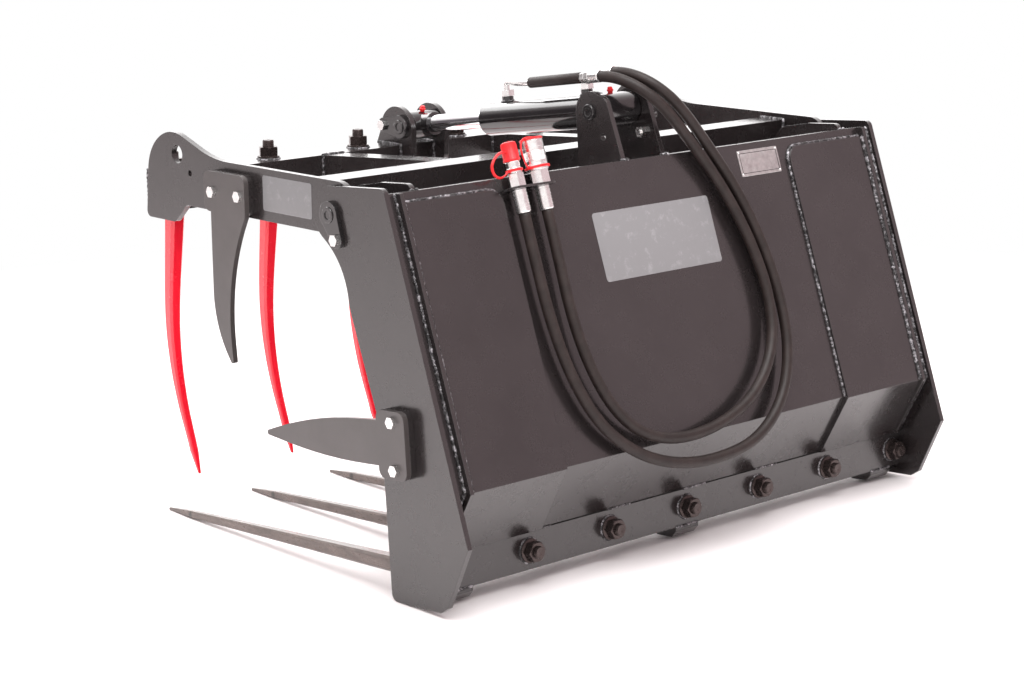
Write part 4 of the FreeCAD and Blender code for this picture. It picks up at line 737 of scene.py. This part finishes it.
NORMALS = (Vector((0, math.cos(BACK_LEAN), math.sin(BACK_LEAN))), Vector((0, 0.8416, -0.5400)))
BAR_REAR = 0.016
BAR_FRONT = -0.064
BAR_HALF = 0.035


def skin(x, z, off=0.0):
    """A point on the upper panel of the back sheet, off its rear face."""
    return stood(x, FOLD_Y + off / math.cos(BACK_LEAN) - (z - FOLD_Z) * math.tan(BACK_LEAN), z)


def down_the_back(x, top, off=0.0):
    """From a height on the upper panel down to the fold and on to the tine bar."""
    fold = Vector((x, FOLD_Y, FOLD_Z)) + off * (NORMALS[0] + NORMALS[1]) / (1 + NORMALS[0].dot(NORMALS[1]))
    low = Vector((x, BAR_REAR, BAR_HALF)) + off * NORMALS[1]
    return [skin(x, top, off), stood(*fold), stood(*low)]


PAD_INNER = 0.375
PAD_TOP = 0.640
PAD_CORNER = 0.028
RIB_INNER = 0.597
RIB_OUTER = 0.605
SIDE_INNER = 0.625
SHEET_TOP = 0.657
SHEET_THICK = 0.008
STITCH_LEFT = 0.008
STITCH_RIGHT = 0.055
TINE_BEAD_RADIUS = 0.0226
EAR_SIDES = (0.047, 0.057)
EAR_FOOT = 0.540
HINGE_PLATE_SIDES = (0.552, 0.562)
HINGE_PLATE_FOOT = 0.505
FOOT_MIDDLES = (-0.565, 0.0, 0.565)
FOOT_ENDS = (BAR_REAR, -0.046)
FOOT_HALF = 0.03


def over_the_top(x, foot):
    """Over the sheet's top edge and down its front to a height."""
    return [skin(x, SHEET_TOP, -SHEET_THICK), skin(x, foot, -SHEET_THICK)]


def bar_corner(x):
    """A point on the corner of the tine bar that the sheet meets."""
    return stood(x, BAR_REAR, BAR_HALF)


back_runs = []
for side in (1, -1):
    back_runs.append(bead(down_the_back(side * RIB_OUTER, SHEET_TOP), 0.0045))
    back_runs.append(bead(down_the_back(side * SIDE_INNER, SHEET_TOP), 0.0045))
    back_runs.append(bead(down_the_back(side * RIB_INNER, PAD_TOP, 0.008)[:2], 0.0054))
    corner = [skin(side * (PAD_INNER + PAD_CORNER * (1 - math.sin(a))),
                   PAD_TOP - PAD_CORNER * (1 - math.cos(a)), 0.001)
              for a in (math.pi / 2 * k / 6 for k in range(7))]
    down = down_the_back(side * PAD_INNER, PAD_TOP - PAD_CORNER)[:2]
    back_runs.append(bead([skin(side * RIB_INNER, PAD_TOP, 0.001)] + corner + down[1:], 0.0042))
    for x in EAR_SIDES:
        top = skin(side * x, SHEET_TOP, 0.001)
        back_runs.append(bead([top] + over_the_top(side * x, EAR_FOOT), 0.004))
    for x in HINGE_PLATE_SIDES:
        top = skin(side * x, SHEET_TOP)
        back_runs.append(bead([top] + over_the_top(side * x, HINGE_PLATE_FOOT), 0.0035))
slit_shadows = []
for x in LOWER_TINES:
    back_runs.append(bead([bar_corner(x + STITCH_LEFT), bar_corner(x - STITCH_RIGHT)], 0.0026))
# Painted shadow: near-black tubes in the bar's corner between the stitch welds, standing for the shade in the
# slit between back sheet and bar.
for x, onward in zip(LOWER_TINES, LOWER_TINES[1:]):
    ends = [bar_corner(x + STITCH_LEFT), bar_corner(onward - STITCH_RIGHT)]
    slit_shadows.append(tube_shape(ends, [0.0014, 0.0014], 8))
dressed("bar_slit_shadows", slit_shadows, "slit_shadow", "fork")
for x in LOWER_TINES:
    for y in (BAR_REAR, BAR_FRONT):
        back_runs.append(bead(ring_points(stood(x, y, 0), BACK_WAY, TINE_BEAD_RADIUS), 0.0024, True))
for x in FOOT_MIDDLES:
    for y in FOOT_ENDS:
        ends = [stood(x - FOOT_HALF, y, -BAR_HALF), stood(x + FOOT_HALF, y, -BAR_HALF)]
        back_runs.append(bead(ends, 0.003))
welds("fork_welds", "fork", back_runs)

ARM_INNER = 0.610
FRONT_TUBE = (0.522, 0.602, -0.057, 0.013)
REAR_TUBE = (0.071, 0.131, -0.015, 0.045)
BRACE_SIDES = (0.200, 0.250)
BRACE_ENDS = ((FRONT_TUBE[0], -0.027, 0.013), (REAR_TUBE[1], -0.001, 0.039))
LUG_SIDES = (0.038, 0.050)


def frame_on_grab(first, second, low, high):
    """The corners of an upright frame between two points, each of them (x, ahead)."""
    return [on_grab(*first, low), on_grab(*second, low), on_grab(*second, high), on_grab(*first, high)]


grab_runs = []
for side in (1, -1):
    for near, far, low, high in (FRONT_TUBE, REAR_TUBE):
        frame_corners = frame_on_grab((side * ARM_INNER, near), (side * ARM_INNER, far), low, high)
        grab_runs.append(bead(frame_corners, 0.0045, True))
    for ahead, low, high in BRACE_ENDS:
        inner, outer = [(side * x, ahead) for x in BRACE_SIDES]
        grab_runs.append(bead(frame_on_grab(inner, outer, low, high), 0.004, True))
    for x in LUG_SIDES:
        grab_runs.append(bead([on_grab(side * x, 0.598, 0.013), on_grab(side * x, 0.522, 0.013),
                               on_grab(side * x, 0.522, -0.022)], 0.0042))
    grab_runs.append(bead(ring_points(on_grab(side * ARM_INNER, 0, 0), OUT_X, 0.0252), 0.0038, True))
for x in UPPER_TINES:
    for height in (FRONT_TUBE[2], FRONT_TUBE[3]):
        middle = on_grab(x, UPPER_TINES_AHEAD, height)
        grab_runs.append(bead(ring_points(middle, UPRIGHT, TINE_BEAD_RADIUS), 0.0024, True))
welds("grab_welds", "grab", grab_runs)
welds("barrel_welds", "barrel", [
    bead(ring_points(on_cylinder(0, -0.038, 0), ROD_WAY, 0.0318), 0.0036, True)] + [
    bead(ring_points(on_cylinder(0, place, BARREL_RADIUS - 0.0012), CYLINDER_UP, 0.0122), 0.0026, True)
    for place in PORTS.values()])
welds("rod_welds", "rod", [bead(ring_points(ROD_PIN + BACKWARD * 0.0315, ROD_WAY, 0.0182), 0.003, True)])


# Plates and films, all blank
def slab(centre, across, up, width, height, corner, thick):
    """A thin plate with rounded corners, its back on a surface."""
    across = Vector(across).normalized()
    up = Vector(up).normalized()
    out = across.cross(up).normalized()
    ring = []
    for quarter, (sx, sy) in enumerate(((1, 1), (-1, 1), (-1, -1), (1, -1))):
        for k in range(6):
            angle = math.pi / 2 * (quarter + k / 5)
            ring.append((sx * (width / 2 - corner) + corner * math.cos(angle),
                         sy * (height / 2 - corner) + corner * math.sin(angle)))
    verts = []
    for lift, shrink in ((-0.0002, 1.0), (thick * 0.7, 1.0), (thick, 1 - 0.0006 / height)):
        verts += [centre + across * (a * shrink) + up * (b * shrink) + out * lift for a, b in ring]
    count = len(ring)
    faces = [tuple(range(count))[::-1], tuple(range(2 * count, 3 * count))]
    for level in range(2):
        for k in range(count):
            a, b = level * count + k, level * count + (k + 1) % count
            faces.append((a, b, b + count, a + count))
    return verts, faces


SHEET_UP = (skin(0, 0.6) - skin(0, 0.5)).normalized()
SHEET_ACROSS = Vector((-1, 0, 0))
SHEET_OUT = SHEET_ACROSS.cross(SHEET_UP)
GLUE = 0.0002
FILM_THICK = 0.0003
PLATE_WIDTH = 0.113
PLATE_HEIGHT = 0.051
PLATE_THICK = 0.0009
plate_centre = skin(-0.2945, 0.6195, GLUE)


def on_plate(across, up, out=0.0):
    """A point of the data plate, from its centre."""
    return plate_centre + SHEET_ACROSS * across + SHEET_UP * up + SHEET_OUT * out


def border_line(across, up, width, height):
    """A printed line on the data plate."""
    return slab(on_plate(across, up, PLATE_THICK), SHEET_ACROSS, SHEET_UP, width, height, 0.0004, GLUE)


LINE_WIDTH = 0.0012
plate = slab(plate_centre, SHEET_ACROSS, SHEET_UP, PLATE_WIDTH, PLATE_HEIGHT, 0.003, PLATE_THICK)
dressed("data_plate", [plate], "plate_silver", "fork")
lines = [border_line(0, up, 0.103, LINE_WIDTH) for up in (0.0195, -0.0195)]
lines += [border_line(across, 0, LINE_WIDTH, 0.040) for across in (-0.0515, 0.0515)]
dressed("data_plate_border", lines, "cylinder_paint", "fork")
rivet_profile = [(0.0022, 0.0008), (0.0021, 0.0014), (0.0014, 0.0021), (0.0005, 0.0024)]
rivets = [lathe(on_plate(across, up), SHEET_OUT, rivet_profile, 16)
          for across in (-0.0525, 0.0525) for up in (-0.0215, 0.0215)]
dressed("data_plate_rivets", rivets, "zinc", "fork")
back_film = slab(skin(0.020, 0.511, GLUE), SHEET_ACROSS, SHEET_UP, 0.302, 0.128, 0.006, FILM_THICK)
dressed("back_film", [back_film], "film_grey", "fork")
arm_film = slab(stood(0.6222, -0.327, 0.641), (0, 1, 0), (0, 0, 1), 0.144, 0.064, 0.005, FILM_THICK)
dressed("arm_film", [arm_film], "film_grey", "grab")


# Studio: a white floor and soft boxes
FLOOR_REACH = 9
FLOOR_DROP = 0.0005
FLOOR_COLOUR = (0.965, 0.93, 0.93, 1)
FAR_FROM = 1.2
FAR_TO = 3.0
corners = [(x * FLOOR_REACH, y * FLOOR_REACH, 0) for x, y in ((-1, -1), (1, -1), (1, 1), (-1, 1))]
floor_mesh = bpy.data.meshes.new("floor")
floor_mesh.from_pydata(corners, [], [(0, 1, 2, 3)])
floor_material, floor_tree, floor_shader = new_material("studio_floor")
floor_shader.inputs["Base Color"].default_value = FLOOR_COLOUR
floor_shader.inputs["Roughness"].default_value = 0.5
far_white = floor_tree.nodes.new("ShaderNodeEmission")
from_middle = floor_tree.nodes.new("ShaderNodeVectorMath")
from_middle.operation = "LENGTH"
link(floor_tree, floor_tree.nodes.new("ShaderNodeTexCoord").outputs["Object"], from_middle.inputs[0])
seen_far = floor_tree.nodes.new("ShaderNodeMath")
seen_far.operation = "MULTIPLY"
link(floor_tree, spread(floor_tree, from_middle.outputs["Value"], FAR_FROM, FAR_TO), seen_far.inputs[0])
link(floor_tree, floor_tree.nodes.new("ShaderNodeLightPath").outputs["Is Camera Ray"], seen_far.inputs[1])
floor_look = floor_tree.nodes.new("ShaderNodeMixShader")
link(floor_tree, seen_far.outputs["Value"], floor_look.inputs["Fac"])
link(floor_tree, floor_shader.outputs["BSDF"], floor_look.inputs[1])
link(floor_tree, far_white.outputs["Emission"], floor_look.inputs[2])
link(floor_tree, floor_look.outputs["Shader"], floor_tree.nodes["Material Output"].inputs["Surface"])
floor = new_object("floor", floor_mesh, floor_material)
floor.location.z = -FLOOR_DROP

world = bpy.data.worlds.new("studio")
bpy.context.scene.world = world
world.use_nodes = True
sky = world.node_tree
seen = sky.nodes["Background"]
seen.inputs["Color"].default_value = (1, 1, 1, 1)
around = sky.nodes.new("ShaderNodeBackground")
direction = sky.nodes.new("ShaderNodeTexCoord").outputs["Generated"]


def toward(way, near, far):
    """1 within an angle of a direction of the sky, falling to 0 at a wider angle."""
    dot = sky.nodes.new("ShaderNodeVectorMath")
    dot.operation = "DOT_PRODUCT"
    link(sky, direction, dot.inputs[0])
    dot.inputs[1].default_value = Vector(way).normalized()
    return spread(sky, dot.outputs["Value"], math.cos(math.radians(far)), math.cos(math.radians(near)))


DARK_CORNER = (-0.72, 0.66, 0.30)
DARK_DOORWAY = (0.66, -0.75, 0.06)
BACKDROP = (-0.65, -0.74, 0.24)
shade = mix_colour(sky, toward(BACKDROP, 20, 50), (1.16, 1.08, 1.08), (2.3, 2.25, 2.25))
shade = mix_colour(sky, toward(DARK_CORNER, 26, 50), shade, (0.81, 0.635, 0.66))
shade = mix_colour(sky, toward(DARK_DOORWAY, 8, 22), shade, (0.14, 0.12, 0.13))
link(sky, shade, around.inputs["Color"])
either = sky.nodes.new("ShaderNodeMixShader")
link(sky, sky.nodes.new("ShaderNodeLightPath").outputs["Is Camera Ray"], either.inputs["Fac"])
link(sky, around.outputs["Background"], either.inputs[1])
link(sky, seen.outputs["Background"], either.inputs[2])
link(sky, either.outputs["Shader"], sky.nodes["World Output"].inputs["Surface"])


def soft_box(name, place, aim, width, height, power):
    light = bpy.data.lights.new(name, "AREA")
    light.shape = "RECTANGLE"
    light.size = width
    light.size_y = height
    light.energy = power
    lamp = bpy.data.objects.new(name, light)
    bpy.context.scene.collection.objects.link(lamp)
    lamp.location = place
    lamp.rotation_euler = (Vector(aim) - Vector(place)).to_track_quat("-Z", "Y").to_euler()


soft_box("top_box", (0.6, 1.2, 4.0), aim=(0, 0, 0.3), width=2.6, height=2.6, power=180)
soft_box("front_box", (0.2, -3.4, 3.3), aim=(0, 0, 0.6), width=3.6, height=1.5, power=75)

# Camera: solved from the photograph in the fork's own frame
CAMERA_PLACE = (3.1624, 3.1428, 1.0693)
CAMERA_YAW = math.radians(228.664)
CAMERA_DIP = math.radians(9.424)
CAMERA_ROLL = math.radians(-3.287)
way = Vector((math.cos(CAMERA_YAW) * math.cos(CAMERA_DIP), math.sin(CAMERA_YAW) * math.cos(CAMERA_DIP),
              -math.sin(CAMERA_DIP)))
level = Vector((math.sin(CAMERA_YAW), -math.cos(CAMERA_YAW), 0))
above = level.cross(way)
right = level * math.cos(CAMERA_ROLL) + above * math.sin(CAMERA_ROLL)
up = above * math.cos(CAMERA_ROLL) - level * math.sin(CAMERA_ROLL)
turned = TURN.to_3x3() @ Matrix((right, up, -way)).transposed()
camera_data = bpy.data.cameras.new("camera")
camera_data.lens = 85.0
camera_data.sensor_width = 36
camera = bpy.data.objects.new("camera", camera_data)
bpy.context.scene.collection.objects.link(camera)
camera.matrix_world = Matrix.Translation(stood(*CAMERA_PLACE)) @ turned.to_4x4()
bpy.context.scene.camera = camera

bpy.context.scene.view_settings.view_transform = "Standard"
